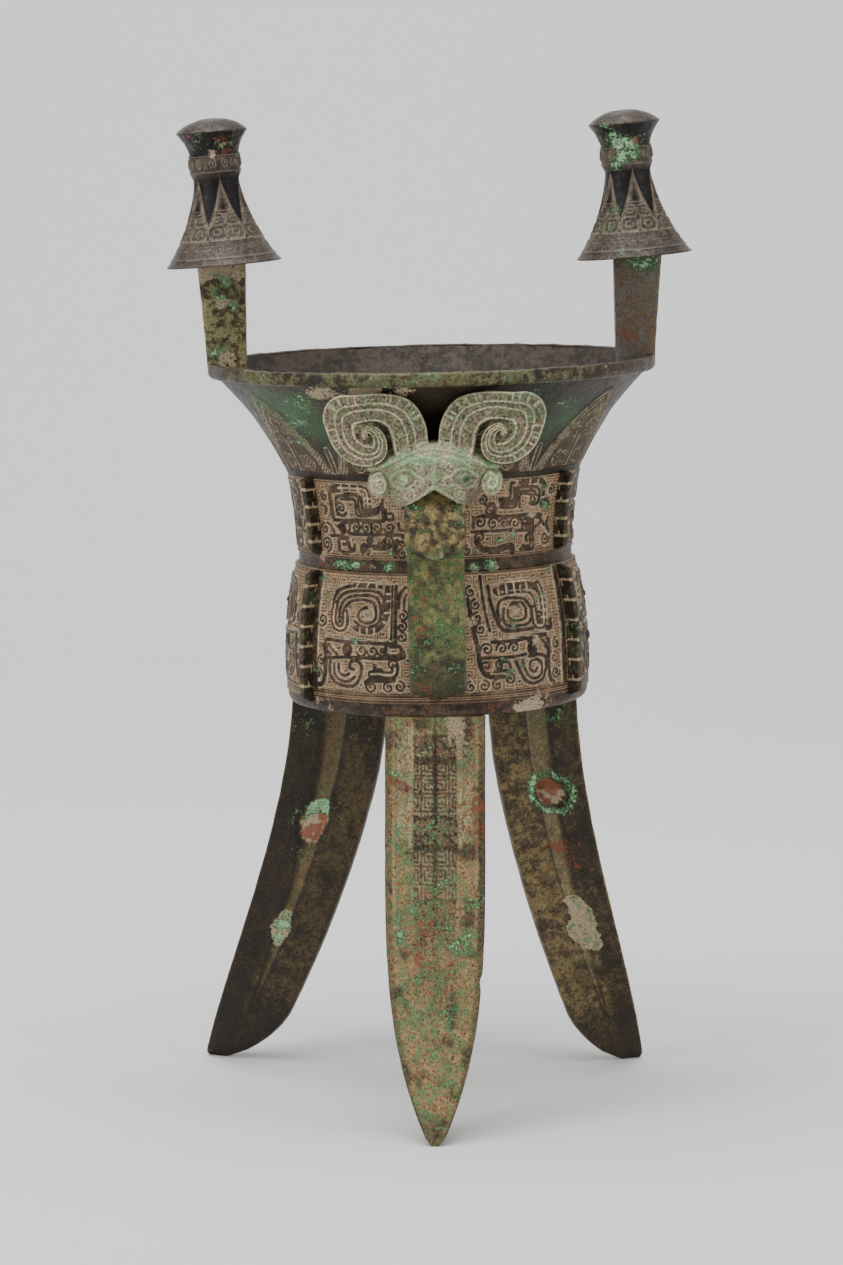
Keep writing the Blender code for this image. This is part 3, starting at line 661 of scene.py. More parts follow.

# %% [markdown]
# The mask is drawn once for each half, as it was traced from the real one. The two halves
# that face the viewer differ a little, as carving by hand does, and the ones behind repeat them.
#
# A path is azimuths in degrees and heights in millimetres, in turn. A stroke is a width and then a
# path, and a grooved one has a line cut down its middle. A curl is the middle, radius, turns, start
# angle and direction of a spiral. A quill is a scratch, and a knob a middle, a radius and a height.

# %% Lower register, left half of the mask
LOWER_LEFT = {
    "flange": -56.0,
    "grooved": [
        (3, -42.2, 260, -42.6, 254, -41.6, 249.5, -39, 248.3, -36.9, 250, -36.9, 256),
        (3.2, -15.9, 229.6, -16.3, 227, -18.4, 226.2, -22, 226.6, -25.2, 226.4),
    ],
    "strokes": [
        (1.5, -43.2, 262, -41.4, 266.6, -36, 269.2, -30, 269.6, -22, 269.6),
        (1.4, -41.8, 258, -40.6, 263, -37.5, 266, -31, 267.4, -24, 267.2, -20.8, 264, -20.4, 257),
        (1.3, -39.9, 257.5, -38.6, 261.4, -35.5, 264, -30, 265.1, -24.6, 264.8, -22.1, 261.5),
        (1.3, -22.1, 261.5, -21.6, 256, -22.6, 251.8, -25.5, 249.8, -29.5, 249.9, -32.6, 252.4),
        (1.3, -37.8, 257, -36.4, 260.4, -33.4, 262.4, -28.5, 262.9, -24.9, 261.6, -23.7, 258),
        (1.2, -23.7, 258, -23.8, 254, -26, 251.9, -29, 252, -30.9, 254.2, -30.4, 257.6, -27.8, 259.6),
        (1.2, -39.6, 256, -39.9, 253.4, -38.9, 251.6),
        (2.4, -19.3, 269, -19.2, 262, -19.6, 256, -20.6, 251.5),
        (2, -21.4, 249.8, -24.6, 247.6, -28.5, 247.4, -32.4, 248.9),
        (1.5, -46.5, 242.2, -36, 241.9, -26, 241.9, -16.4, 242.1, -15.7, 245, -15.7, 257, -15.7, 270),
        (1.1, -17.2, 244, -17.1, 256, -17.2, 270),
        (1.4, -45, 233.1, -38, 233.9, -30, 234.3, -22, 234.3, -13.2, 234.6, -12.6, 238),
        (2, -46.3, 240, -46.2, 232, -46.9, 224, -48.9, 219.4, -54.6, 218.4),
        (1.5, -43.8, 231.5, -44, 225.5, -41.5, 221.2, -36.5, 219.5, -32, 220.7, -29.8, 225.5),
        (1.5, -29.8, 225.5, -29.5, 230.6, -31.6, 232.6, -34.2, 231.6, -34.4, 228.9, -32.6, 228.3),
        (1.3, -41.7, 230.4, -41.5, 225.6, -39, 222.5, -35, 222.2, -32.4, 224.6),
        (1.3, -39.6, 230.5, -39.3, 226.6, -37, 224.8, -34.6, 226),
        (2.6, -17, 224, -21.6, 223.7, -25, 223.6, -27.2, 222), (1.6, -24, 230.8, -23.6, 228.6, -21.4, 228.6),
        (1.6, -19.3, 240.4, -19.3, 236.4, -13.9, 236.3, -13.9, 240.3, -17.4, 240.2),
        (1.4, -48.5, 239.8, -46.9, 237.6, -43.8, 235.3), (1.3, -44.6, 239.9, -42.6, 237.6, -40.6, 235.6),
        (1.3, -14.5, 259.5, -14.2, 266, -12.4, 269.2, -10.6, 269.6),
        (1.2, -12.4, 259.5, -12.2, 264.4, -10.8, 266.6),
        (2.6, -52.4, 218, -52.4, 246, -52.4, 256, -52.4, 274),
    ],
    "lines": [
        (-38, 270.9, -26, 271, -18.4, 270.9, -18.2, 258, -18.3, 243.6, -30, 243.5, -46, 244.2),
        (-45.5, 258, -45, 262, -43.6, 266, -40, 269.8),
    ],
    "curls": [
        (-39.2, 251.2, 2.6, 1.2, 120, -1), (-29.2, 237.9, 2.8, 1.3, 190, 1), (-24.7, 237.9, 2.7, 1.3, 190, 1),
        (-20.8, 237.9, 2.4, 1.2, 190, 1), (-17, 231.2, 2.9, 1.3, 300, 1), (-25.4, 220, 3.2, 1.4, 90, 1),
        (-12.9, 255.6, 2.5, 1.3, 90, -1), (-13.3, 250.2, 2.5, 1.3, 90, -1), (-13.4, 245, 2.5, 1.3, 90, -1),
        (-48.6, 251.8, 3.2, 1.4, 200, 1), (-18.6, 219.8, 2.6, 1.3, 90, 1), (-14.4, 220.4, 2.6, 1.3, 90, -1),
        (-50.6, 224.6, 2.8, 1.3, 0, 1), (-48.6, 231.4, 2.5, 1.3, 90, 1),
    ],
    "quills": [
        (-19.3, 266.2, -17.8, 266.2), (-19.3, 262.8, -17.8, 262.8), (-20, 257, -17.8, 257),
        (-20.6, 252.6, -18.4, 251.4), (-24, 246.4, -24, 249.4), (-27, 246, -27, 249),
        (-30, 246.6, -30, 249.4), (-41.4, 246.6, -39.4, 245.6), (-33, 268.4, -32, 270.6),
        (-28, 268.4, -27.4, 270.8), (-23.8, 268.2, -23.8, 270.6),
    ],
    "knobs": [(-27.2, 256.8, 2.2, 2.0), (-35.8, 237.9, 3.3, 2.4)],
}
print("left half:", len(LOWER_LEFT["strokes"]), "plain strokes,", len(LOWER_LEFT["curls"]), "curls")

# %% Lower register, right half of the mask
LOWER_RIGHT = {
    "flange": 60.0,
    "grooved": [
        (3, 43.8, 267.6, 45.2, 262, 45, 254, 44.6, 248.2, 42.4, 247.2, 40.4, 249.2, 40.2, 256),
    ],
    "strokes": [
        (1.7, 20.9, 268.6, 21.2, 263, 22.2, 257, 23.6, 251.6, 25.3, 247.6, 29, 246.2, 39, 246.4),
        (1.3, 26.8, 257.6, 26.2, 252.4, 28.2, 248.9, 35.6, 248.6, 38.4, 251.2, 38.6, 257, 36.4, 261.4),
        (1.3, 36.4, 261.4, 30.6, 262.4, 25.6, 261.4, 24.2, 256.6, 24.8, 251.6),
        (1.2, 33.6, 257.6, 31.6, 259.7, 29, 258, 28.4, 253.6, 31.2, 251, 35.6, 251.9, 36.6, 256.4),
        (1.2, 36.6, 256.4, 34.6, 259.7, 30.8, 260.1),
        (2.8, 24, 266.6, 29, 267.8, 35, 267.9, 40.4, 267.4, 43.8, 265.6),
        (1.2, 24.4, 264.4, 30, 264.9, 38.2, 264.4, 40.8, 261, 41, 255),
        (1.6, 45.4, 242.4, 38, 242, 30, 241.3, 21, 241.4), (2, 46.2, 245.6, 48.2, 246, 48.3, 249.4),
        (1.9, 12.4, 263, 13.7, 250, 15.3, 240, 16, 232, 17.3, 226.8, 19.8, 224.2, 25.6, 223.7),
        (1.4, 16.6, 233.7, 24, 233.5, 30, 233.3, 35, 234),
        (1.5, 30.7, 230.6, 32.6, 225, 35, 220.6, 38.6, 218.9, 42.8, 220.6, 44.7, 225.4),
        (1.5, 44.7, 225.4, 44.6, 230.8, 41.4, 233, 36.6, 232.6),
        (1.3, 33.6, 231, 34.6, 226.4, 36.4, 222.8, 39.4, 221.3, 42.3, 223.4, 42.5, 228.4, 40, 230.9),
        (1.2, 40, 230.9, 37.2, 229.8, 36.9, 226.4, 39, 224.6, 40.4, 226.6),
        (1.6, 36.4, 240.3, 40, 241, 43.6, 239.2, 45, 236.4),
        (1.9, 46.2, 240, 46.2, 230, 46.8, 221, 49.2, 217.6), (1.6, 21.8, 226.6, 25, 226.8, 27.6, 226.2),
        (1.4, 20.4, 247, 19, 256, 18.2, 266, 18, 274), (2.6, 55.6, 218, 55.8, 246, 55.6, 274),
        (1.4, 24.2, 231.4, 27.2, 230.8, 28.4, 228.2),
    ],
    "lines": [
        (21, 270.2, 28, 270.9, 36, 271, 44, 270.2, 47.4, 267, 48, 258, 47.6, 251),
        (49.4, 251.4, 49.4, 246, 46.8, 243.8, 38, 243.4, 28, 242.8, 22, 243.2, 20.2, 246.6),
    ],
    "curls": [
        (42.6, 251.2, 2.6, 1.2, 100, -1), (30.2, 237.7, 2.8, 1.3, 190, -1), (25, 237.7, 2.8, 1.3, 190, -1),
        (19, 237.9, 3.1, 1.4, 190, -1), (18.6, 229.4, 3, 1.3, 290, -1), (28, 222.3, 2.7, 1.3, 90, -1),
        (24, 229.6, 2.4, 1.1, 90, 1), (50.2, 223, 3, 1.4, 0, -1), (49.6, 230.4, 2.6, 1.3, 90, -1),
        (13.6, 266.6, 2.6, 1.3, 90, 1), (15.4, 260.2, 2.6, 1.3, 90, 1), (15.8, 253.8, 2.6, 1.3, 90, 1),
        (16.9, 248.2, 2.6, 1.3, 90, 1), (41.9, 266.4, 2.4, 1.2, 300, 1), (51, 237.4, 2.8, 1.3, 90, 1),
        (12.4, 219.6, 2.6, 1.3, 90, 1), (17.6, 219.8, 2.6, 1.3, 90, -1), (22.8, 219.8, 2.6, 1.3, 90, 1),
    ],
    "quills": [
        (25.2, 264.6, 25, 268.6), (28.6, 265, 28.4, 269.4), (32.2, 265, 32, 269.8), (38, 264.8, 38.2, 269.2),
        (44.4, 261.6, 47, 261.8), (44.4, 258, 47, 258.2), (44.2, 254.6, 47, 254.8), (43.8, 251.2, 46.6, 251),
        (35, 265, 35, 268),
    ],
    "knobs": [(31.1, 256.6, 2.4, 2.0), (38.4, 236.4, 3.4, 2.4)],
}
print("right half:", len(LOWER_RIGHT["strokes"]), "plain strokes,", len(LOWER_RIGHT["curls"]), "curls")

# %% Upper register, left half of the mask
UPPER_LEFT = {
    "flange": -56.0,
    "grooved": [
        (2.4, -40, 318.3, -34, 318.4, -29.4, 318.2, -27.2, 316.6, -27, 309),
    ],
    "strokes": [
        (3, -43.6, 317.4, -40.5, 317.6), (2.2, -45.2, 314.4, -45.2, 308, -45, 303.4),
        (1.4, -42.2, 306, -42.4, 311, -41.2, 313.8, -36, 314.8, -31.4, 314.7, -29.8, 312.4, -29.7, 307.4),
        (1.2, -29.7, 307.4, -26, 307.9, -22.4, 309, -21.2, 310.8),
        (1.3, -39.4, 312.6, -34.4, 312.8, -32.6, 311.6, -32.4, 304.9, -27, 304.9, -22.9, 306.2),
        (1.1, -31.1, 313, -31, 306.2, -26.6, 306.4, -22.5, 307.6),
        (1.4, -42, 304.7, -39.4, 304.3, -37.6, 305.6),
        (1.5, -44.6, 301.8, -36, 302, -28, 302.2, -20.6, 302.4), (1.4, -20.8, 303, -21, 308, -20.6, 313),
        (1.3, -36.4, 301.4, -36.6, 297.6, -37.6, 295.6, -33, 295.2, -22, 295.4, -11.6, 295.2),
        (1.3, -26.4, 300.6, -26.2, 297.6, -26.4, 295.8), (1.4, -37.4, 301, -39, 300.6, -43, 298.6),
        (1.2, -48.6, 300, -46.5, 298.6, -45, 295.2), (1.3, -47, 293.6, -43, 293.8, -37.6, 293.2),
        (1.4, -42.5, 292.2, -42.3, 286.6, -38, 285.9, -35, 287.2, -34.6, 289.8),
        (1.4, -41.9, 292.7, -38.7, 292.6, -38.5, 290.2, -40.6, 289.7),
        (1.2, -37.4, 291.2, -37.2, 288, -35.6, 287.6),
        (2.6, -19.6, 290.2, -23, 290.3, -26.2, 290.5, -27.6, 292.4), (1.8, -27.6, 292.4, -25.4, 293.8),
        (1.9, -28.4, 289.6, -30.8, 289.6, -30.8, 286.2), (1.3, -18, 289.6, -21, 288.2, -25.6, 288),
        (2, -16.6, 284.9, -16.6, 288, -15.6, 292.2), (1.5, -21.2, 292.6, -21.2, 289.6),
        (1.4, -19.6, 308, -19.6, 303.4, -16.9, 303.2, -16.8, 306, -18.2, 306),
        (1.5, -50.6, 309, -48.6, 307.6, -49.4, 304.8), (1.4, -14.6, 301, -14.2, 298, -11.6, 297.4),
    ],
    "lines": [
        (-45.6, 316, -45, 319.3, -42, 319.9, -30, 319.9, -25.8, 319.8, -25.9, 309),
        (-44.6, 315.6, -38, 315.9, -29, 315.9), (-28.4, 312, -28.2, 308.8, -24, 310, -22.2, 311.4),
        (-47, 311.5, -43.6, 311.5), (-47, 306.4, -43.8, 306.2),
    ],
    "curls": [
        (-40.3, 308.2, 3, 1.5, 250, -1), (-33.6, 298.5, 2.9, 1.35, 140, -1), (-28.8, 298.6, 2.8, 1.3, 20, 1),
        (-23.9, 298.8, 2.9, 1.35, 140, -1), (-18.6, 299, 2.7, 1.3, 190, 1), (-50, 289.3, 3.6, 1.7, 270, 1),
        (-19.4, 292.4, 2.6, 1.3, 300, 1), (-28.2, 286.8, 2, 1.2, 60, 1), (-13.4, 286, 2.4, 1.3, 90, 1),
        (-13.4, 291.4, 2.3, 1.3, 90, -1), (-48.8, 313.4, 2.4, 1.3, 90, 1), (-13.8, 313, 2.6, 1.3, 90, -1),
        (-50.4, 297, 2.6, 1.3, 90, 1),
    ],
    "quills": [
        (-38.6, 317, -38.6, 319.6), (-34.4, 317, -34.4, 319.6), (-30.6, 316.8, -30.6, 319.4),
        (-28.2, 313.6, -25.8, 313.4), (-28.2, 311, -26, 310.8),
    ],
    "knobs": [(-40.6, 297.4, 2.8, 2.0)],
}
print("upper left half:", len(UPPER_LEFT["strokes"]), "plain strokes,", len(UPPER_LEFT["curls"]), "curls")

# %% Upper register, right half of the mask
UPPER_RIGHT = {
    "flange": 60.0,
    "grooved": [],
    "strokes": [
        (2.2, 36.4, 319.3, 41, 319.6, 46, 319.4, 48.4, 317.4, 48.6, 312, 48.4, 306.6),
        (1.4, 34.6, 316.9, 40, 316.9, 44.4, 316, 46.2, 313, 46, 308.6, 43.6, 307.4, 41.4, 308.6),
        (1.3, 35, 314.9, 40, 315, 43.4, 314.2, 44, 312.4),
        (1.2, 36.4, 306.8, 36.2, 313, 40, 313.3, 42, 312.4),
        (1.3, 34.8, 316.8, 34.6, 311, 34.6, 307.6, 31, 307.2, 27.4, 307.6),
        (1.5, 32.6, 319.4, 31.4, 319.2, 31.2, 312, 28, 312, 27.4, 310.7, 33.2, 310.4, 33.4, 316.6),
        (1.3, 27.6, 309.2, 34.2, 308.9), (1.5, 48.6, 301.8, 42, 303, 34, 302.6, 27.4, 303, 20, 303.6),
        (1.4, 15.4, 296, 22, 296, 30, 295.8, 38, 295.1, 44.6, 294.6),
        (1.3, 36.9, 301.2, 38.1, 299.4, 38.2, 296.6), (1.5, 39.2, 298.2, 42.6, 295.6, 46.8, 297, 48.6, 299.4),
        (1.4, 39.4, 300.6, 43, 301.6, 47.4, 300.4, 50.6, 296.6),
        (1.5, 43.6, 293.6, 44.2, 288, 43.4, 285.6, 37.4, 285.6), (1.3, 42, 293, 42.4, 287.4, 38.4, 287.2),
        (1.3, 40.6, 292.6, 40.2, 290, 42, 289.9),
        (2.6, 17.4, 291, 19.2, 287.7, 23, 286.6, 27.4, 286.8, 32.4, 288, 33.4, 285.2),
        (1.6, 30, 287.2, 26.4, 285.4), (1.5, 21, 309.4, 24.4, 309.4, 25, 306, 25, 304.6),
        (1.6, 49, 309.4, 51.6, 308.6, 52.4, 305.4), (1.4, 52.8, 300, 52.2, 296.6, 53.8, 293),
        (1.6, 16, 303.4, 16, 298.4),
    ],
    "lines": [
        (30.2, 312.8, 30.2, 320.6, 35, 321, 40, 321.2, 46.6, 321.1, 49.8, 319.4, 50.4, 311),
        (35, 318, 35.2, 320.6), (26, 306, 26.6, 313),
    ],
    "curls": [
        (43.4, 310.4, 2.6, 1.2, 30, 1), (18.9, 300.6, 3.1, 1.4, 160, -1), (24.4, 299.6, 3, 1.4, 10, 1),
        (29.4, 299.4, 2.7, 1.3, 160, -1), (34.6, 299.3, 2.9, 1.35, 200, -1), (18.9, 293, 2.9, 1.3, 250, -1),
        (51.4, 290, 3.2, 1.5, 0, -1), (23, 306, 2.2, 1.2, 90, 1), (38.9, 318.9, 1.6, 1, 90, 1),
        (13.6, 312, 2.6, 1.3, 90, 1), (13.4, 287, 2.4, 1.3, 90, 1), (53.4, 314, 2.4, 1.3, 90, -1),
        (19.6, 311.6, 2.4, 1.3, 90, -1),
    ],
    "quills": [
        (40.4, 318, 40.4, 320.6), (44.6, 318, 44.6, 320.4), (47.4, 314.6, 49.8, 314.6),
        (47.4, 310.6, 49.6, 310.6),
    ],
    "knobs": [(42.6, 298.5, 3.1, 2.1)],
}
print("upper right half:", len(UPPER_RIGHT["strokes"]), "plain strokes,", len(UPPER_RIGHT["curls"]), "curls")

# %% [markdown]
# Six half panels go round the vessel. Each is carved on its own sheet that starts at a flange, and
# the sheets are laid side by side, every second one mirrored. The back has one point on each line of
# the thunder pattern and one between two lines. The front is looked at more closely, so its points
# are nearer together: a share of 0.7 keeps its pattern as fine as the back's.

# %% Carve the half panels and join them
STROKE_SCALE = 1.34
CURL_SCALE = 1.1


def carve_half(design, columns, up, arc, foot, top, share, mirrored):
    """Heights, ridges and edges of one half panel. The arc is in millimetres per degree."""
    flange = design["flange"]
    side = math.copysign(1.0, -flange)
    panel = Panel(np.linspace(0.0, abs(flange) * arc, columns, endpoint=False), up)
    panel.ground = thunder(len(up), columns, 9, share) * ((up > foot) & (up < top))[:, None]

    def flat(path):
        """From azimuths and heights in turn to places in millimetres from the flange."""
        return [(side * (x - flange) * arc, y) for x, y in zip(path[::2], path[1::2])]

    for x, y, radius, turns, start, turn in design["curls"]:
        across, height = flat((x, y))[0]
        start = start if side > 0 else 180 - start
        panel.stroke(spiral(across, height, CURL_SCALE * radius, turns, start, side * turn), 1.3, 1.1)
    for grooved in (False, True):
        for width, *path in design["grooved" if grooved else "strokes"]:
            panel.stroke(flat(path), STROKE_SCALE * width, grooved=grooved)
    for path in design["lines"]:
        panel.line(flat(path))
    for path in design["quills"]:
        panel.scratch(flat(path), 0.8)
    for x, y, radius, height in design["knobs"]:
        panel.boss(*flat((x, y))[0], radius, height)
    sheets = np.stack([*panel.heights(), panel.outline()])
    return sheets[..., ::-1] if mirrored else sheets


FRONT_STOPS = (FLANGES[0], 0.0, FLANGES[1])
BACK_STOPS = (FLANGES[1], FLANGES[2], FLANGES[3], FLANGES[4], FLANGES[0] + 360.0)


def carve_arc(stops, designs, columns, up, arc, foot, top, share):
    """A run of half panels between azimuth stops: azimuths, then heights, ridges and edges."""
    azimuth = np.concatenate([np.linspace(a, b, columns, endpoint=False) for a, b in zip(stops, stops[1:])])
    halves = [
        carve_half(design, columns, up, arc, foot, top, share, number % 2 == 1)
        for number, design in enumerate(designs)
    ]
    sheets = np.concatenate([*halves, halves[-1][..., -1:]], axis=2)
    return np.append(azimuth, stops[-1]), *sheets


print("front and back have", len(FRONT_STOPS) - 1, "and", len(BACK_STOPS) - 1, "half panels")

# %% [markdown]
# Thin raised lines border each band. They are added after the mask, on the whole ring at once, so
# that they meet at the flanges.

# %% Make a register


def ring_lines(height, ridge, up, places):
    """Thin raised lines that run round the whole ring."""
    for place in places:
        share = smooth(0.58 - np.abs(up - place), 0.0, 0.35)[:, None]
        height[:] = np.maximum(height, 0.8 * share)
        ridge[:] = np.maximum(ridge, 0.85 * share)


def around(azimuth):
    """The azimuth from -180 to 180 degrees, so that patches can be placed on either side."""
    return (azimuth + 180.0) % 360.0 - 180.0


def add_register(name, low, high, lines, carved, arc, left, right, plain_top, marks, seed):
    """A register in two pieces, the finer one at the front, with its border lines and its patches."""
    for part, stops, designs, columns, step, share in (
        ("front", FRONT_STOPS, (left, right), 152, 0.50, 0.7),
        ("back", BACK_STOPS, (right, right, right, left), 112, 0.70, 1.0),
    ):
        up = np.linspace(low, high, int((high - low) / step) + 1)
        azimuth, height, ridge, edge = carve_arc(stops, designs, columns, up, arc, *carved, share)
        height *= (up > carved[0] - 0.3)[:, None]
        edge *= (up > carved[0] - 0.3)[:, None]
        ridge[up < plain_top] = 0.8
        ring_lines(height, ridge, up, lines)
        turn = around(azimuth)[None, :]
        wander = lumps(round_points(turn, up[:, None] * MM, 0.075), 0.011, seed)
        fine = lumps(round_points(turn, up[:, None] * MM, 0.075), 0.0028, seed + 1)
        worn = 1.0 - 0.30 * smooth(wander, 0.1, 0.8)
        radius = wall_radius(up[:, None] * MM) + (height * worn + 0.16 * wander + 0.06 * fine) * MM
        points = settle(round_points(azimuth[None, :], up[:, None] * MM, radius))
        patches = {key: spots(turn, up[:, None], places) for key, places in marks.items()}
        add_grid(f"{part}_{name}", points, body_patina, ridge=ridge * (0.8 + 0.2 * worn) + 0.08 * fine,
                 edge=edge * (0.85 + 0.3 * fine), **patches)
        print(f"{part}_{name}:", points.shape[0], "rows of", points.shape[1])


# %% [markdown]
# The lower register is the taller band. Under its mask run five thin lines, then a plain dark strip,
# then the edge where the flat underside begins. Corrosion has left its own marks: red specks, mint
# flecks and patches of earth, each a place with a radius and a strength.

# %% Lower register
add_register(
    "lower_register", LEG_HEIGHT / MM, WAIST_Z / MM,
    (211.6, 212.8, 214.0, 215.2, 216.4, 275.4), (216.9, 274.9), 1.31,
    LOWER_LEFT, LOWER_RIGHT, 211.1, {
        "green": (
            (-46, 262, 6, 0.5), (-20, 255, 4, 0.5), (44, 262, 6, 0.7), (30, 250, 4, 0.7), (24, 232, 4, 0.8),
            (-52, 226, 7, 0.7), (34, 214, 5, 0.6), (52, 220, 5, 0.4), (-70, 240, 10, 0.6), (75, 250, 12, 0.5),
            (150, 240, 18, 0.5), (-150, 250, 16, 0.6), (-31, 243, 4, 0.9), (28, 225, 3, 0.9),
            (52, 274, 4, 0.9), (-51, 272, 4, 0.8), (33, 229, 3, 0.8),
        ),
        "earth": (
            (-30, 247, 6, 0.5), (12, 252, 4, 0.9), (24, 270, 5, 0.8), (37, 207, 7, 1.6), (40, 239, 4, 0.9),
            (-48, 213, 6, 0.6), (120, 230, 20, 0.4), (-110, 240, 18, 0.3), (-27, 257, 2.4, 1.3),
            (31, 256.6, 2.4, 1.6),
        ),
        "rust": (
            (21, 209, 5, 0.8), (-30, 209, 5, 0.5), (-40, 222, 5, 0.5), (21, 236, 4, 0.8), (19, 230, 4, 0.8),
            (-42, 256, 5, 0.8), (24, 267, 5, 0.6), (52, 236, 6, 0.6), (-55, 268, 5, 0.8),
        ),
    }, 1,
)

# %% [markdown]
# Between the registers the wall steps in to a smooth waist, and the upper register repeats the
# mask at a smaller size. The waist keeps the brightest mint patches, because nothing rubs it.

# %% Waist and upper register
add_register(
    "upper_register", WAIST_Z / MM, NECK_Z / MM,
    (282.2, 283.4, 284.6, 320.9), (285.1, 320.3), 1.27,
    UPPER_LEFT, UPPER_RIGHT, 281.9, {
        "green": (
            (-44, 280, 3.5, 1.2), (-39, 279.4, 3.5, 1.3), (-35, 279.6, 3, 1.2), (-20, 279, 3.5, 1.2),
            (16, 278.5, 3, 1.3), (23, 279.5, 3.5, 1.5), (-30, 281, 2, 0.8), (48, 315, 3, 1.2),
            (49, 307, 3, 1.1), (53, 305, 3, 1), (27, 291, 2.5, 1.3), (33, 292, 4, 0.9), (-19, 287, 4, 0.8),
            (-31, 308, 4, 0.7), (17, 285, 4, 0.8), (-56, 313, 4, 0.9), (-66, 300, 8, 0.6),
            (120, 300, 16, 0.6), (-140, 300, 14, 0.5),
        ),
        "earth": (
            (24, 278.6, 3, 1.7), (16, 278, 2.5, 1.5), (-40, 280, 2.5, 1.2), (-26, 279, 2.5, 0.9),
            (42, 302.4, 2.5, 1.3), (32, 293, 5, 0.8), (-36, 312, 7, -0.8), (-24, 292, 2.5, 0.9),
            (55, 311, 3, 0.9), (-54, 283, 3, 1.1),
        ),
        "rust": (
            (16, 302, 2.5, 0.9), (24, 303.4, 2.5, 0.8), (18, 290, 3, 1), (-56, 281, 4, 1), (-41, 296, 3, 0.7),
        ),
    }, 5,
)

# %% [markdown]
# The neck flares out under the lip. Nine upright leaves, each drawn with three lines that meet in a
# point, stand round it, and the metal between their tips is smooth. One leaf is carved and repeated,
# because the casters made all nine from one pattern too.

# %% Carve one leaf of the neck
LEAF_COUNT = 9
LEAF_COLUMNS = 80
LEAF_FOOT = 326.0
LEAF_HALF = 24.3
LEAF_TIPS = (364.5, 359.8, 354.8)
LEAF_INSETS = (0.0, 2.3, 4.4)

neck_up = np.concatenate([[NECK_Z / MM], np.arange(NECK_Z / MM + 0.6, LIP_Z / MM, 0.68), [LIP_Z / MM]])
leaf = Panel(np.linspace(-27.0, 27.0, LEAF_COLUMNS, endpoint=False), neck_up)
leaf.ground = thunder(len(neck_up), LEAF_COLUMNS)
for side in (-1, 1):
    for inset, tip in zip(LEAF_INSETS, LEAF_TIPS):
        half = LEAF_HALF - inset
        middle = (side * 0.36 * half, 0.73 * tip + 88.0)
        leaf.line([(side * half, LEAF_FOOT), (side * 0.76 * half, 338), middle, (0, tip)], 1.0, 0.9)
    leaf.stroke([(side * 1.6, 326.5), (side * 1.6, 340.5)], 1.2, 0.9)
    leaf.stroke([(side * 1.6, 340.5), (side * 5, 342.2), (side * 10, 342.2)], 1.6, 0.9)
    leaf.stroke(spiral(side * 11.2, 330.0, 3.4, 1.8, 90, side), 1.1, 0.9)
    leaf.stroke(spiral(side * 6.2, 331.0, 2.6, 1.7, 270, -side), 1.0, 0.9)
    leaf.stroke(spiral(side * 4.4, 347.5, 2.4, 1.6, 200, side), 1.0, 0.9)
    leaf.stroke([(side * 26.4, 326), (side * 26.6, 333), (side * 26.9, 338)], 1.5, 0.5)
edge_of_leaf = 23.6 * (1.0 - np.clip((neck_up[:, None] - LEAF_FOOT) / 38.5, 0.0, 1.0)) ** 0.72
inside = smooth(edge_of_leaf - np.abs(leaf.across)[None, :], -0.3, 0.5) * (neck_up[:, None] > 325.6)
on_leaf = (leaf.raised > 0.2) | (inside > 0.5)
print("a leaf covers", round(100 * float(on_leaf.mean())), "percent of its sector")

# %% Neck
height, ridge = leaf.heights(0.35)
height, ridge, edge = (
    np.tile(sheet, (1, LEAF_COUNT))
    for sheet in (np.where(on_leaf, height, 0.0), np.where(on_leaf, ridge, 0.82), 0.62 * leaf.outline())
)
ring_lines(height, ridge, neck_up, (322.0, 323.4, 324.8))
azimuth = 40.0 * np.arange(LEAF_COUNT * LEAF_COLUMNS) / LEAF_COLUMNS
neck_azimuth = around(azimuth)[None, :]
wander = lumps(round_points(neck_azimuth, neck_up[:, None] * MM, 0.09), 0.012, 3)
worn = 1.0 - 0.45 * smooth(wander, 0.0, 0.8)
radius = wall_radius(neck_up[:, None] * MM) + (height * worn + 0.2 * wander) * MM
points = settle(round_points(azimuth[None, :], neck_up[:, None] * MM, radius))
neck_patina = patina("neck_patina", (32, 27, 21), (52, 43, 32), (80, 64, 47), 0.35, zone=(50, 82, 48))
NECK_PATCHES = {
    "green": (
        (-47, 352, 8, 1), (-40, 362, 7, 1), (-52, 342, 5, 0.8), (-60, 360, 8, 0.6), (44, 360, 6, 0.7),
        (30, 366, 5, 0.6), (40, 350, 6, 0.6), (140, 350, 20, 0.5), (-150, 345, 20, 0.5), (-22, 336, 5, 0.8),
    ),
    "zone": (
        (-46, 358, 9, 0.9), (-38, 350, 8, 0.8), (-56, 364, 8, 0.7), (46, 352, 6, 0.7), (40, 345, 5, 0.5),
        (-34, 340, 6, 0.6),
    ),
    "earth": (
        (-30, 369, 6, 1.2), (-18, 369.5, 6, 1.3), (-8, 369, 5, 1.1), (70, 350, 10, 0.5), (-70, 345, 10, 0.4),
    ),
}
patches = {key: spots(neck_azimuth, neck_up[:, None], places) for key, places in NECK_PATCHES.items()}
add_grid("neck", points, neck_patina, closed=True, ridge=ridge * (0.7 + 0.3 * worn), edge=edge, **patches)
print("neck:", points.shape[0], "rows of", points.shape[1])

# %% [markdown]
# The lip is a thick plain ring, and its rim is chipped and worn. Inside, the wall is really there:
# it follows the outside at a distance of about three millimetres, down to a flat floor. Its skin is
# a dusty grey-brown, because earth settled there. All are profiles turned about the axis.

# %% Turn a profile, and find the inner wall


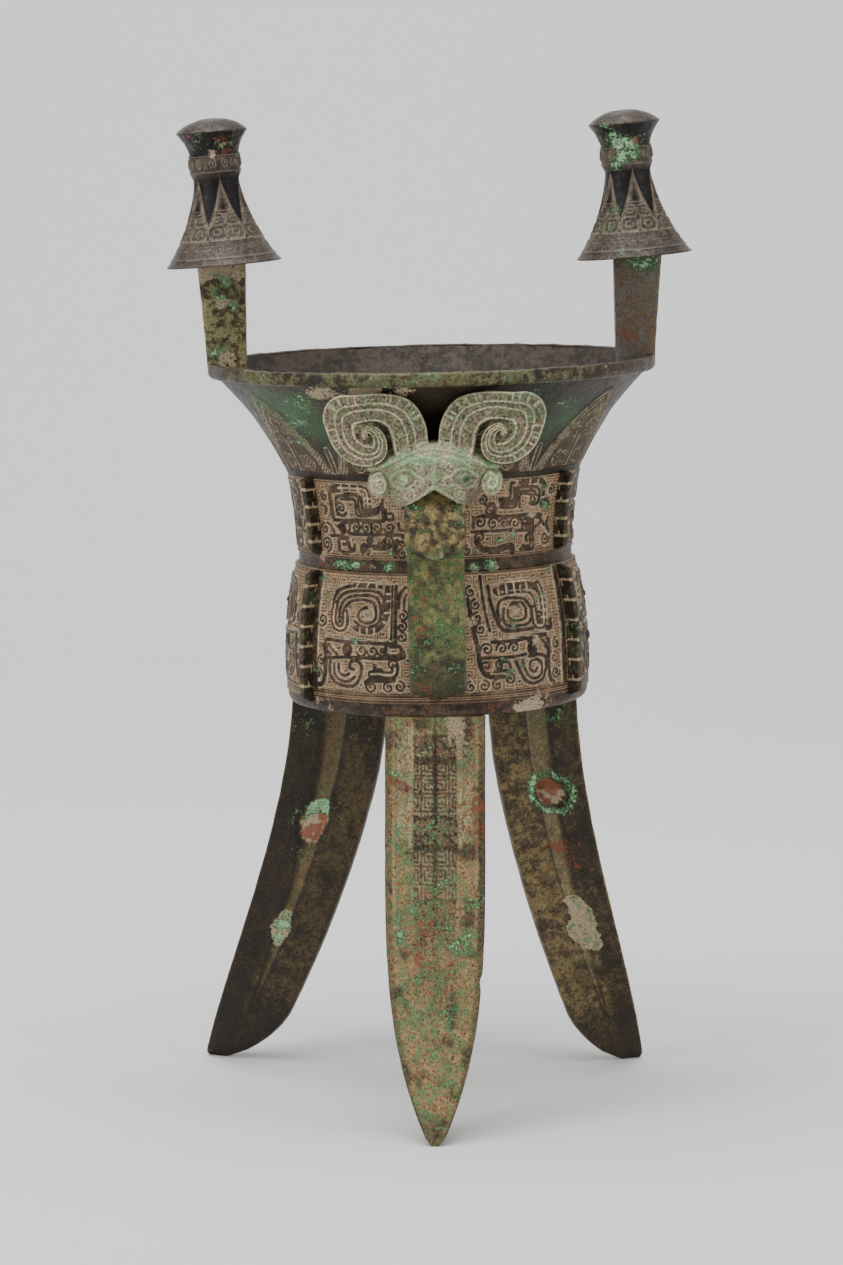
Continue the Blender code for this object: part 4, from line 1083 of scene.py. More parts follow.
def turned_points(profile, columns, rough, lump, seed):
    """Turn a profile of radius and height about the axis, with a slightly uneven surface."""
    radius, up = np.array(profile).T
    turn = np.linspace(0.0, 360.0, columns, endpoint=False)[None, :]
    points = round_points(turn, up[:, None], radius[:, None])
    uneven = cast_skin(points, lump, seed, lump / 3, seed + 1, 0.5)
    scale = 1.0 + rough * uneven / np.maximum(radius[:, None], 0.004) * (radius[:, None] > 0.003)
    points[..., :2] *= scale[..., None]
    return turn, points


def hollow_radius(z):
    """Radius of the inner wall."""
    slope = (wall_radius(z + 0.001) - wall_radius(z - 0.001)) / 0.002
    return wall_radius(z) - WALL * np.hypot(1.0, np.clip(slope, 0.0, 1.0))


print("inner wall at the belly, mm:", round(float(hollow_radius(BELLY_Z)) / MM, 1))

# %% Lip
LIP_DRAW_IN = 0.0038

lip_profile = [
    (MOUTH_RADIUS, LIP_Z), (RIM_RADIUS - 0.0016, LIP_Z + 0.0001), (RIM_RADIUS - 0.0003, LIP_Z + 0.0009),
    (RIM_RADIUS, LIP_Z + 0.0022), (RIM_RADIUS, RIM_Z - 0.0016), (RIM_RADIUS - 0.0004, RIM_Z - 0.0005),
    (RIM_RADIUS - 0.0014, RIM_Z), (RIM_RADIUS - LIP_THICKNESS + 0.0008, RIM_Z),
    (RIM_RADIUS - LIP_THICKNESS, RIM_Z - 0.0006),
]
lip_patina = patina("lip_patina", (40, 35, 26), (94, 87, 60), (136, 126, 104), green=0.46, crust=0.38,
                    gloss=0.4, grain=1.4, mottle=1.3, fleck=0.25, zone=(70, 60, 54))
turn, points = turned_points(lip_profile, 560, 0.00030, 0.006, 7)
points[..., :2] *= 1.0 - LIP_DRAW_IN * (points[..., 2:] > LIP_Z + 0.0005)
chips = smooth(lumps(points, 0.0035, 11) + 0.4 * lumps(points, 0.0015, 12), 0.62, 0.9)
worn_rim = 0.35 + 0.35 * lumps(points, 0.009, 13) + 0.3 * lumps(points, 0.0028, 14)
points[..., 2] -= (0.0011 * chips + 0.0007 * worn_rim) * smooth(points[..., 2], RIM_Z - 0.0018, RIM_Z)
lip_azimuth = around(np.broadcast_to(turn, points.shape[:2]))
lip_places = ((-10, 374, 25, 0.4), (-50, 374, 8, 0.4), (20, 374, 6, 0.6))
lip_green = spots(lip_azimuth, points[..., 2] / MM, lip_places)
lip_zone = 0.9 * smooth(lip_azimuth, 34.0, 60.0) + 0.6 * smooth(-lip_azimuth, 50.0, 75.0)
add_grid("lip", settle(points), lip_patina, closed=True, ridge=0.9, green=lip_green, zone=lip_zone,
         earth=0.15 + 0.4 * chips)
print("lip is", round(LIP_HEIGHT / MM, 1), "mm high")

# %% Inside and underside
FLOOR_Z = LEG_HEIGHT + FLOOR
CORNER = 0.006

inner_z = np.concatenate([
    np.linspace(LIP_Z - 0.0010, NECK_Z, 26), np.linspace(NECK_Z, FLOOR_Z + CORNER, 34)[1:]
])
lip_inside = RIM_RADIUS - LIP_THICKNESS
inner_profile = [
    (blend(lip_inside, hollow_radius(inner_z[0]), share), blend(RIM_Z - 0.0006, inner_z[0], share))
    for share in np.linspace(0.0, 1.0, 9)[:-1]
]
inner_profile += list(zip(hollow_radius(inner_z), inner_z))
corner_radius = inner_profile[-1][0]
for degrees in range(15, 91, 15):
    turn = math.radians(degrees)
    inner_profile.append((
        corner_radius - CORNER * (1 - math.cos(turn)), FLOOR_Z + CORNER * (1 - math.sin(turn))
    ))
inner_profile += [
    (corner_radius - CORNER - share * (corner_radius - 0.007), FLOOR_Z) for share in np.linspace(0.1, 1.0, 14)
]
inside_patina = patina("inside_patina", (68, 59, 51), (50, 44, 38), (76, 68, 58),
                       green=0.0, crust=0.0, rust=0.0, gloss=0.6, mottle=0.5)
_, points = turned_points(inner_profile, 300, 0.0004, 0.012, 21)
add_grid("inside", settle(points), inside_patina, closed=True, ridge=0.8, earth=0.1)

underside_profile = [
    (UNDERSIDE_RADIUS * (1 - share), LEG_HEIGHT) for share in (0.0, *np.linspace(0.08, 0.985, 16))
]
_, points = turned_points(underside_profile, 160, 0.0002, 0.01, 31)
points[..., 2] += 0.0002 * lumps(points, 0.006, 33)
add_grid("underside", settle(points), body_patina, closed=True, flip=True, ridge=0.6, earth=0.3)
print("inside reaches down to", round(FLOOR_Z / MM, 1), "mm")

# %% [markdown]
# Flanges hide the seams where the clay mould's sections met. Each is a fin with a stack of short
# slots and hooks cut into its sides. A fin is one grid over one side, the front and the other side,
# so its corners stay soft and its sides can be carved as panels.

# %% Carve a fin
FLANGE_THICKNESS = 0.0042
FLANGE_OUT = 0.0065
FLANGE_ROW = 0.00055
SLOT_DEPTH = 0.0006
NOTCH_DEPTH = 0.0010
SIDE_COLUMNS = 12
FRONT_COLUMNS = 8


def carve_fin(up, slots):
    """One side of a fin: hooks and bars beside its slots. Across runs from the wall to the front."""
    panel = Panel(np.linspace(-0.6, FLANGE_OUT / MM, SIDE_COLUMNS), up)
    for number, middle in enumerate(slots):
        panel.scratch([(1.0, middle), (6.6, middle)], 1.1)
        if number % 2:
            panel.scratch([(1.4, middle), (1.4, middle - 3.0)], 0.8)
        else:
            panel.scratch([(3.4, middle), (3.4, middle + 2.0)], 0.8)
    return panel.cut


print("a fin stands out", round(FLANGE_OUT / MM, 1), "mm")

# %% Flanges


def add_fin(name, azimuth, low, high, slot_count, material):
    """A fin on the wall at an azimuth, between two heights."""
    up = np.arange(low, high, FLANGE_ROW) / MM
    slots = [blend(low, high, (slot + 0.75) / (slot_count + 0.5)) / MM for slot in range(slot_count)]
    cut = carve_fin(up, slots)
    ends = smooth(np.minimum(up - up[0], up[-1] - up), 0.0, 1.8)[:, None]
    notch = np.max([smooth(1.15 - np.abs(up - middle), 0.0, 0.7) for middle in slots], axis=0)[:, None]
    out = np.linspace(-0.0006, FLANGE_OUT - 0.0006, SIDE_COLUMNS)[None, :]
    half = FLANGE_THICKNESS / 2 - SLOT_DEPTH * cut
    front = np.linspace(-1.0, 1.0, FRONT_COLUMNS + 2)[1:-1][None, :]
    front_out = FLANGE_OUT - 0.0006 * np.abs(front) ** 3 - NOTCH_DEPTH * notch
    across = np.hstack([-half, front * (FLANGE_THICKNESS / 2 - 0.0003 * notch), half[:, ::-1]])
    out = np.broadcast_to(out, half.shape)
    reach = np.hstack([out, front_out, out[:, ::-1]])
    reach = np.where(reach > 0.0, reach * (0.55 + 0.45 * ends) - 0.0009 * (1.0 - ends), reach)
    z = up[:, None] * MM
    points = np.stack([across, -(wall_radius(z) + reach), np.broadcast_to(z, across.shape)], -1)
    points[..., 0] += 0.00012 * lumps(points + azimuth, 0.004, 41)
    points[..., 0], points[..., 1] = rotate(points[..., 0], points[..., 1], math.radians(azimuth))
    ridge = 1.0 - np.hstack([cut, np.broadcast_to(notch, front_out.shape), cut[:, ::-1]])
    add_grid(name, settle(points), material, ridge=ridge, ends=True,
             green=np.clip(0.7 * lumps(points, 0.009, 43), 0, 1), earth=0.3 * (1.0 - ridge))


fin_patina = patina("fin_patina", (48, 41, 32), (78, 68, 52), (190, 170, 138), 0.6, 0.45, fleck=0.6)
for azimuth in FLANGES:
    add_fin(f"upper_flange_{azimuth:.0f}", azimuth, UPPER_Z - 0.0005, NECK_Z + 0.0010, 4, fin_patina)
    add_fin(f"lower_flange_{azimuth:.0f}", azimuth, EDGE_Z + 0.0010, WAIST_Z - 0.0005, 6, fin_patina)
print("flanges:", 2 * len(FLANGES))

# %% [markdown]
# The three legs are blades that sweep outwards to a point. Seen from above, a leg is a triangle: a
# broad outer face with a low ridge, and two flanks that meet at the inner edge, each with a shallow
# groove that tapers to nothing. The section is worked out at every height for one half, with half of
# its points on the face for the carving, and mirrored.

# %% The shape of a leg
LEG_WIDTH = 0.0500
LEG_DEPTH = 0.0425
LEG_TOP_RADIUS = 0.0712
LEG_RIDGE = 0.0035
LEG_INNER_WIDTH = 0.0040
FOOT_WIDTH = 0.0060
FOOT_DEPTH = 0.0140
TAPER_HEIGHT = 0.1500
CHIN_HEIGHT = 0.0300
GROOVE_WIDTH = 0.0120
GROOVE_DEPTH = 0.0016
GROOVE_FOOT = 0.0260
GROOVE_MIDDLE = 0.47
FACE_COLUMNS = 30
FLANK_COLUMNS = 30


def leg_measures(z, reach, depth):
    """Outer distance, width and depth of a leg at each height."""
    width = blend(FOOT_WIDTH, LEG_WIDTH, 1.0 - (1.0 - np.clip(z / TAPER_HEIGHT, 0, 1)) ** 3.5)
    width = width * blend(0.45, 1.0, np.sqrt(np.clip(z / 0.0040, 0, 1)))
    full = depth * blend(0.84, 1.0, np.clip(z / (0.8 * LEG_HEIGHT), 0, 1))
    chin = 1.0 - (1.0 - np.clip(z / CHIN_HEIGHT, 0, 1)) ** 2
    deep = blend(FOOT_DEPTH, full, chin**0.85)
    deep = deep * blend(0.72, 1.0, np.sqrt(np.clip(z / 0.0050, 0, 1)))
    outer = blend(LEG_TOP_RADIUS, reach, np.clip((LEG_HEIGHT - z) / LEG_HEIGHT, 0, 1) ** 1.6)
    outer = outer - 0.0014 * (1.0 - np.clip(z / 0.0030, 0, 1)) ** 2
    return outer, width, deep


def leg_grid(reach, depth):
    """Half of a leg as (outwards, sideways, up), from the ridge over the edge to the inner corner."""
    z = np.concatenate([np.linspace(0.0, 0.006, 7), np.arange(0.0070, LEG_HEIGHT + 0.0012, 0.00098)])[:, None]
    outer, width, deep = leg_measures(z, reach, depth)
    face = np.linspace(0.0, 1.0, FACE_COLUMNS)[None, :]
    ridge = LEG_RIDGE * width / LEG_WIDTH
    face_out = outer + ridge * (1.0 - face) * (0.85 + 0.15 * face) - 0.0011 * smooth(face, 0.90, 1.02) ** 2
    face_side = width / 2 * face
    inner_half = np.minimum(LEG_INNER_WIDTH, 0.4 * width) / 2
    flank = np.linspace(0.0, 1.0, FLANK_COLUMNS + 1)[None, 1:]
    flank_out = outer - 0.0006 - (deep - 0.0006) * flank
    flank_side = blend(width / 2, inner_half, flank)
    taper = np.clip((z - GROOVE_FOOT) / (LEG_HEIGHT - GROOVE_FOOT), 0, 1) ** 0.7
    length = np.hypot(deep, width / 2 - inner_half)
    half = np.clip(GROOVE_WIDTH * taper / 2, 0.0006, 0.3 * length) / length
    groove = smooth(half - np.abs(flank - GROOVE_MIDDLE), -0.012, 0.03) * np.clip(3 * taper, 0, 1)
    lean_out = (width / 2 - inner_half) / length
    lean_side = deep / length
    flank_out = flank_out - GROOVE_DEPTH * groove * lean_out
    flank_side = flank_side - GROOVE_DEPTH * groove * lean_side
    return z, (face_out, face_side), (flank_out, flank_side), face, flank, groove, outer - deep / 2


print("a leg is", round(LEG_WIDTH / MM), "mm wide, and its foot is", round(FOOT_WIDTH / MM), "mm")

# %% Make a leg


def both_sides(face, flank, sign=1.0):
    """Face and flank side by side, and then their mirror image with the inner corner left out."""
    half = np.concatenate([face, flank], axis=1)
    return np.concatenate([half, (sign * half)[:, ::-1][:, :-1]], axis=1)


def add_leg(name, azimuth, reach, depth, material, seed, face_carving=None, shape=None):
    """A whole leg. The face can be carved, and shape can dent it and place its patches."""
    z, face_place, flank_place, face, flank, groove, centre_out = leg_grid(reach, depth)
    plain = np.zeros((len(z), FACE_COLUMNS))
    carve, face_ridge, face_edge = face_carving or (plain, plain + 0.8, plain)
    grid = np.stack([
        both_sides(face_place[0] + carve * MM, flank_place[0]),
        both_sides(face_place[1], flank_place[1], -1.0),
        both_sides(plain + z, 0.0 * groove + z),
    ], -1)
    share = both_sides(face + 0.0 * z, 1.0 + flank + 0.0 * z, -1.0)
    hollow = both_sides(plain, groove)
    proud = both_sides(face_ridge, 0.85 - 0.42 * groove)
    pale = both_sides(face_edge, 0.0 * groove)
    rough = cast_skin(grid, 0.009, seed, 0.003, seed + 3, 0.5)
    fade = smooth(z, 0.0, 0.012)
    centre = np.stack([centre_out, 0.0 * z, z], -1)
    outwards = grid - centre
    outwards[..., 2] = 0.0
    outwards /= np.maximum(np.linalg.norm(outwards, axis=-1, keepdims=True), 1e-6)
    grid = grid + outwards * (0.00016 * rough * fade)[..., None]
    marks = {"ridge": proud, "edge": pale, "green": 0.0 * proud, "earth": 0.30 * hollow, "rust": 0.0 * proud}
    if shape:
        shape(grid, share, z / MM, outwards, marks)
    x, y = rotate(grid[..., 1], -grid[..., 0], math.radians(azimuth))
    points = settle(np.stack([x, y, grid[..., 2]], -1), leaning=False)
    add_grid(name, points, material, closed=True, ends=True, flip=True, **marks)


leg_z = leg_grid(FRONT_LEG_REACH, LEG_DEPTH)[0][:, 0]
print("a leg has", len(leg_z), "sections")

# %% [markdown]
# The front leg's face carries a pattern: a column of squares and hooks on either side of its ridge,
# and a chain of curls beside it. It is worn away towards the foot, so the carving fades with height.

# %% The front leg's face and its patches


def front_face():
    """The carving from the leg's ridge to its edge: heights, ridges and pale lines."""
    up = leg_z / MM
    flat = Panel(np.linspace(0.0, 25.0, FACE_COLUMNS), up)
    flat.line([(11.0, 202), (11.0, 110), (8.8, 80), (4.8, 56), (0.6, 40)], 0.7, 0.5)
    flat.line([(20.6, 200), (20.6, 150), (20.4, 90)], 0.6, 0.3)
    flat.line([(12.6, 199), (12.6, 140)], 0.6, 0.4)
    flat.line([(12.6, 199), (20.6, 199)], 0.6, 0.4)
    for low in (192, 149, 109):
        flat.stroke([(2.6, low + 4), (2.6, low - 4), (5.0, low - 6), (9.4, low - 5)], 2.2, 0.65)
        flat.stroke(spiral(6.8, low + 1.5, 3.0, 1.4, 270, 1), 1.3, 0.65)
    squares = [(low < up) & (up < high) for low, high in ((155, 181), (115, 139), (84, 100))]
    inner_columns = (flat.across > 1.2) & (flat.across < 10.6)
    flat.ground = thunder(len(up), FACE_COLUMNS) * np.any(squares, axis=0)[:, None] * inner_columns
    for number, low in enumerate(np.arange(146, 198, 6.5)):
        flat.stroke(spiral(16.6, low, 2.6, 1.6, 90 + 180 * (number % 2), 1), 0.7, 0.4)
    faint = smooth(up, 60.0, 160.0)[:, None]
    height, ridge = flat.heights(0.3)
    rows = smooth(up, 52.0, 62.0) * smooth(196.4 - up, 0.0, 0.8)
    column = smooth(11.0 - flat.across, 0.0, 0.6)[None, :] * rows[:, None]
    dark = column * (0.15 + 0.40 * faint)
    pale = np.maximum(flat.outline(), 0.6 * flat.ground)
    ridge = 0.66 - 0.7 * dark * (1.0 - 0.5 * ridge)
    return height * (0.4 + 0.6 * faint), ridge, 0.42 * pale * (0.2 + 0.8 * faint)


def chip_front(grid, share, up, outwards, marks):
    """A chip on the front leg's right edge, and its patches."""
    chip = np.exp(-((up - 76) / 3.2) ** 2 - ((share - 1.02) / 0.06) ** 2)
    grid -= outwards * (0.0012 * chip)[..., None]
    wander = lumps(grid, 0.013, 45)
    earth_places = ((-0.5, 3.1, 0.5, 0.5), (0.5, 3.2, 0.4, 0.5), (0.4, 3.36, 0.2, 1.5))
    marks["earth"] += 1.6 * chip + 0.8 * spots(share, up / 60, earth_places)
    marks["green"] += 0.12 * wander + spots(share * 20, up, (
        (-12, 105, 9, 0.5), (-10, 78, 8, 0.5), (10, 96, 10, 0.6), (-14, 140, 8, 0.4), (4, 120, 8, 0.5),
        (14, 112, 7, 0.5), (-6, 92, 7, 0.4), (8, 60, 8, 0.5), (0, 84, 6, 0.5), (-16, 120, 6, 0.5),
        (-17, 175, 8, 0.5), (0, 150, 7, 0.5), (13, 180, 6, 0.5), (-3, 44, 8, 0.4), (-15, 98, 6, 0.7),
    ))
    marks["rust"] += spots(share * 20, up, (
        (17, 160, 6, 0.8), (18, 148, 6, 0.8), (-6, 100, 8, 0.5), (8, 75, 8, 0.4), (-16, 170, 7, 0.5),
        (-8, 86, 8, 0.5),
        (2, 170, 8, 0.4),
    ))
    edge = smooth(np.abs(share), 0.80, 0.92) * smooth(1.1 - np.abs(share), 0.0, 0.06)
    dark_strip = edge * (0.55 + 0.4 * (share > 0) * smooth(up, 80, 110) * smooth(190 - up, 0, 20))
    dark_strip = np.maximum(dark_strip, 0.7 * np.exp(-(share / 0.03) ** 2) * smooth(up, 105, 150))
    stains = 0.8 * smooth(cast_skin(grid, 0.008, 46, 0.0031, 47, 0.5), 0.15, 0.8)
    marks["zone"] = np.clip(dark_strip + stains + 0.5 * smooth(20 - up, 0, 14), 0, 0.85)
    marks["ridge"] *= 1.0 - 0.8 * chip


front_patina = patina("front_leg_patina", (166, 132, 92), (92, 112, 74), (52, 41, 31), zone=(62, 51, 40),
                      green=0.60, crust=0.44, rust=0.9, gloss=0.5, grain=1.2, mottle=2.2, fleck=1.0)
add_leg("front_leg", 0.0, FRONT_LEG_REACH, LEG_DEPTH, front_patina, 9, front_face(), chip_front)
print("front leg's foot is", round(FRONT_LEG_REACH / MM, 1), "mm from the axis")

# %% [markdown]
# The clay core of each side leg was dug out through a hole in its flank, and below it the skin has
# broken into a crusty patch. The points are pushed inwards for both, and the marks colour them.

# %% The side legs, with their holes


def sink_hole(grid, share, up, outwards, marks, side, hole_up, hole, patch, deep, green_top):
    """Sink a hole with a raised lip into the flank that faces the viewer, and crust a patch below it."""
    share = side * share
    place, wide, tall = hole
    gap = np.hypot((share - place) / wide, (up - hole_up) / tall)
    dent = smooth(1.0 - gap, -0.05, 0.25)
    rim = np.exp(-((gap - 1.10) / 0.15) ** 2)
    core = smooth(0.95 - gap, 0.0, 0.12)
    uneven = lumps(grid, 0.005, 77)
    high = smooth(up - hole_up + 0.25 * tall * lumps(grid, 0.004, 80), -0.1 * tall, 0.4 * tall)
    raised_lip = 0.0005 * np.exp(-((gap - 1.2) / 0.12) ** 2)
    grid += outwards * (raised_lip - deep * dent + 0.0012 * core * (1.0 - gap))[..., None]
    marks["ridge"] *= 1.0 - 0.9 * core
    marks["earth"] += 1.5 * core * (1.0 - high)
    ring = np.exp(-((gap - 1.35) / 0.35) ** 2) * (share > 1.0)
    marks["green"] += 1.6 * core * high * green_top + (1.1 - 0.6 * green_top) * ring
    marks["rust"] += 1.8 * core * smooth(lumps(grid, 0.0035, 81) + high * (1.0 - 2.0 * green_top), -0.2, 0.3)
    patch_up, patch_wide, patch_tall = patch
    patch_gap = np.hypot((share - place) / patch_wide, (up - patch_up) / patch_tall)
    broken = smooth(1.0 - patch_gap + 0.35 * uneven, 0.0, 0.35) * (share > 1.0)
    grid -= outwards * (0.0006 * broken * (0.4 + lumps(grid, 0.002, 78)))[..., None]
    marks["earth"] += 1.6 * broken
    marks["green"] += (0.7 + 0.6 * green_top) * broken * smooth(lumps(grid, 0.0028, 79), -0.5, 0.3)
    marks["rust"] += (1.0 - green_top) * spots(share * 20, up, ((29, 122, 6, 0.9), (29, 112, 6, 0.7)))
    marks["green"] += spots(share * 20, up, ((28, 190, 12, 0.5), (34, 60, 10, 0.3)))
    dark = smooth(45.0 - up, 0.0, 30.0) + 0.7 * smooth(uneven, 0.1, 0.7) * smooth(share, 1.0, 1.1)
    half_groove = 0.14 * np.clip((up * MM - GROOVE_FOOT) / (LEG_HEIGHT - GROOVE_FOOT), 0, 1) ** 0.7
    groove_share = 1.0 + GROOVE_MIDDLE
    # Painted shadow: a dark line along both edges of the flank's groove, where its walls would shade.
    groove_shadow = np.exp(-((np.abs(share - groove_share) - half_groove - 0.01) / 0.022) ** 2)
    groove_shadow = groove_shadow * (up > 1000 * GROOVE_FOOT)
    outer_half = 0.7 * smooth(groove_share - share, 0.05, 0.2) * (share > 1.0)
    marks["zone"] = np.clip(0.75 * dark + rim + 0.8 * groove_shadow + outer_half, 0.0, 0.9) * (1.0 - core)


LEFT_LEG_REACH = 0.1400
RIGHT_LEG_REACH = 0.1275
RIGHT_LEG_DEPTH = 0.0385
left_leg_patina = patina("left_leg_patina", (48, 41, 32), (72, 60, 40), (110, 94, 64), zone=(36, 31, 26),
                         crust=0.25, rust=0.38, gloss=0.36, grain=0.8, mottle=1.4, fleck=0.35)
right_leg_patina = patina("right_leg_patina", (74, 63, 48), (114, 98, 66), (126, 114, 84), zone=(40, 34, 28),
                          green=0.42, rust=0.45, gloss=0.4, grain=0.8, mottle=1.4, fleck=0.4)
add_leg("left_leg", -120.0, LEFT_LEG_REACH, LEG_DEPTH, left_leg_patina, 8, shape=lambda *leg: sink_hole(
    *leg, 1, 136.0, (1.45, 0.17, 13.5), (76.0, 0.13, 11.0), deep=0.0022, green_top=1.0))
add_leg("right_leg", 120.0, RIGHT_LEG_REACH, RIGHT_LEG_DEPTH, right_leg_patina, 9,
        shape=lambda *leg: sink_hole(
            *leg, -1, 151.0, (1.42, 0.18, 7.4), (79.0, 0.23, 18.0), deep=0.0036, green_top=0.0))
print("side legs' feet are", [round(reach / MM, 1) for reach in (LEFT_LEG_REACH, RIGHT_LEG_REACH)], "mm out")

# %% [markdown]
# Two posts stand on the rim, perhaps to lift the hot vessel by with a pair of tongs. Each is a square
# bar with softened corners that widens towards its cap. The grid goes round the bar, and its first
# rows close its foot, which follows the flare of the wall so that no gap shows.

# %% Where a post meets the wall
POST_WIDTH = 0.0197
POST_THICKNESS = 0.0140
POST_FLARE = 0.0045
POST_INSET = 0.0005
FOOT_ROWS = 7
POST_ROWS = 96


def wall_height(radius):
    """Height at which the neck's wall has a radius."""
    share = (radius - NECK_RADIUS) / (MOUTH_RADIUS - NECK_RADIUS)
    bend = 1.0 - FLARE
    return blend(NECK_Z, LIP_Z, (np.sqrt(FLARE**2 + 4.0 * bend * share) - FLARE) / (2.0 * bend))


print("wall is 100 mm from the axis at", round(float(wall_height(0.1)) / MM, 1), "mm")

# %% Posts


def add_post(name, side, material, green, earth, rust):
    """A post from its foot in the wall to the underside of its cap."""
    outer = RIM_RADIUS - POST_INSET
    inner = outer - POST_WIDTH
    turn = np.linspace(0.0, math.tau, 88, endpoint=False)[None, :]
    bulge = (np.abs(np.cos(turn)) ** 14 + np.abs(np.sin(turn)) ** 14) ** (-1 / 14)
    size = np.concatenate([np.linspace(0.05, 0.9, FOOT_ROWS), np.ones(POST_ROWS)])[:, None]
    across = size * np.clip(bulge * np.cos(turn), -1, 1)
    along = size * np.clip(bulge * np.sin(turn), -1, 1)
    rise = np.concatenate([np.zeros(FOOT_ROWS), np.linspace(0.0, 1.0, POST_ROWS)])[:, None]
    foot_outer = LIP_Z + 0.0010
    radius = np.minimum(blend(inner, outer, (across + 1) / 2), MOUTH_RADIUS)
    foot = np.minimum(wall_height(radius) + WALL / 2, foot_outer)
    z = blend(foot, CAP_Z + 0.0010, rise)
    climb = np.clip((z - foot_outer) / (CAP_Z + 0.0040 - foot_outer), 0, 1)
    flare = POST_FLARE * climb**1.3
    x = blend(inner - 0.15 * flare, outer + flare, (across + 1) / 2)
    y = POST_THICKNESS / 2 * along + 0.0 * z
    points = np.stack([side * x, y, z], -1)
    uneven = cast_skin(points, 0.007, 51, 0.0025, 52)
    points[..., 0] += 0.00016 * uneven * np.sign(x - (outer + inner) / 2) * side
    points[..., 1] += 0.00016 * uneven * np.sign(y)
    width = across * POST_WIDTH / 2 / MM
    height = (z - RIM_Z) / MM
    add_grid(name, settle(points), material, closed=True, flip=side < 0, ends=True, ridge=0.85,
             green=spots(width, height, green) + 0.1 * (along < 0),
             earth=spots(width, height, earth), rust=spots(width, height, rust))


left_post_patina = patina("left_post_patina", (66, 55, 40), (132, 127, 88), (126, 114, 90),
                          green=0.38, crust=0.5, gloss=0.44, fleck=0.35)
right_post_patina = patina("right_post_patina", (98, 96, 90), (98, 82, 64), (118, 106, 88),
                           green=0.2, rust=0.2, gloss=0.40, fleck=0.3)
add_post(
    "left_post", -1, left_post_patina,
    green=(
        (0, 20, 9, 0.4), (2, 8, 5, 0.7), (-4, 34, 6, 0.5), (6, 5, 5, 0.8), (2, 36, 5, 0.7), (-4, 28, 4, 0.7),
        (0, 42, 6, 0.8),
    ),
    earth=((0, 47, 6, 1.6), (6, 46, 5, 1.5), (-7, 46, 5, 1.4), (0, 30, 6, 0.6), (0, 2, 7, 0.9)),
    rust=(),
)
add_post(
    "right_post", 1, right_post_patina,
    green=((2, 47, 7, 1.3), (6, 44, 5, 1.0), (-6, 22, 5, 0.4)),
    earth=((0, 10, 5, 0.4), (2, 30, 3, 0.5)),
    rust=((-4, 10, 5, 1.2), (-1, 8, 4, 1.1), (-4, 3, 4, 0.7)),
)
print("posts are", round(POST_WIDTH / MM, 1), "by", round(POST_THICKNESS / MM, 1), "mm")

# %% [markdown]
# Each cap is turned like a chess piece: a wide skirt, a collar and a flaring knob. Triangles stand
# on the skirt, and blue-black metal shows between them. One sector of them is carved and repeated.

# %% The shape of a cap
POST_SPACING = 0.2080
CAP_LEAN = math.radians(3.8)
CAP_RADIUS = 0.0292
CAP_STEM_RADIUS = 0.0115
CAP_COLLAR_RADIUS = 0.0129
CAP_KNOB_RADIUS = 0.0182
CAP_SKIRT_HEIGHT = 0.0430
CAP_COLLAR_HEIGHT = 0.0100
CAP_KNOB_RISE = 0.0140
CAP_DOME_HEIGHT = 0.0070
UNDER_SHARES = (0.3, 0.5, 0.7, 0.85, 0.94, 0.98)


def cap_profile():
    """Radius and height, from the middle of the underside over the edge and up to the top."""
    skirt = [
        (CAP_STEM_RADIUS + (CAP_RADIUS - CAP_STEM_RADIUS) * (1 - s) ** 1.85, s * CAP_SKIRT_HEIGHT)
        for s in np.linspace(0.0, 1.0, 66)
    ]
    skirt[0] = (CAP_RADIUS, 0.0)
    skirt[1] = (CAP_RADIUS - 0.0002, 0.0007)
    collar_foot = CAP_SKIRT_HEIGHT + 0.0031
    collar_top = CAP_SKIRT_HEIGHT + CAP_COLLAR_HEIGHT + 0.0024
    collar = [(CAP_COLLAR_RADIUS, z) for z in np.linspace(collar_foot, collar_top, 16)]
    knob_top = CAP_SKIRT_HEIGHT + CAP_COLLAR_HEIGHT + CAP_KNOB_RISE
    knob = [
        (blend(CAP_COLLAR_RADIUS - 0.0004, CAP_KNOB_RADIUS, s**1.6), blend(collar_top, knob_top, s))
        for s in np.linspace(0.03, 1.0, 16)
    ]
    dome = [
        (CAP_KNOB_RADIUS * s, knob_top + (CAP_DOME_HEIGHT - 0.0004) * (1.0 - s**2.6))
        for s in (0.995, 0.985, 0.96, 0.92, 0.86, 0.78, 0.68, 0.56, 0.43, 0.3, 0.17, 0.05)
    ]
    under = [(CAP_RADIUS * s, 0.0) for s in UNDER_SHARES]
    return np.array(under + skirt + collar + knob + dome)


print("a cap has", len(cap_profile()), "rows of points")

# %% The carving of a cap
CAP_SECTORS = 6
SECTOR_COLUMNS = 36
SECTOR_HALF = 8.4
TRIANGLE_FOOT = 19.4
TRIANGLE_RISE = 24.2


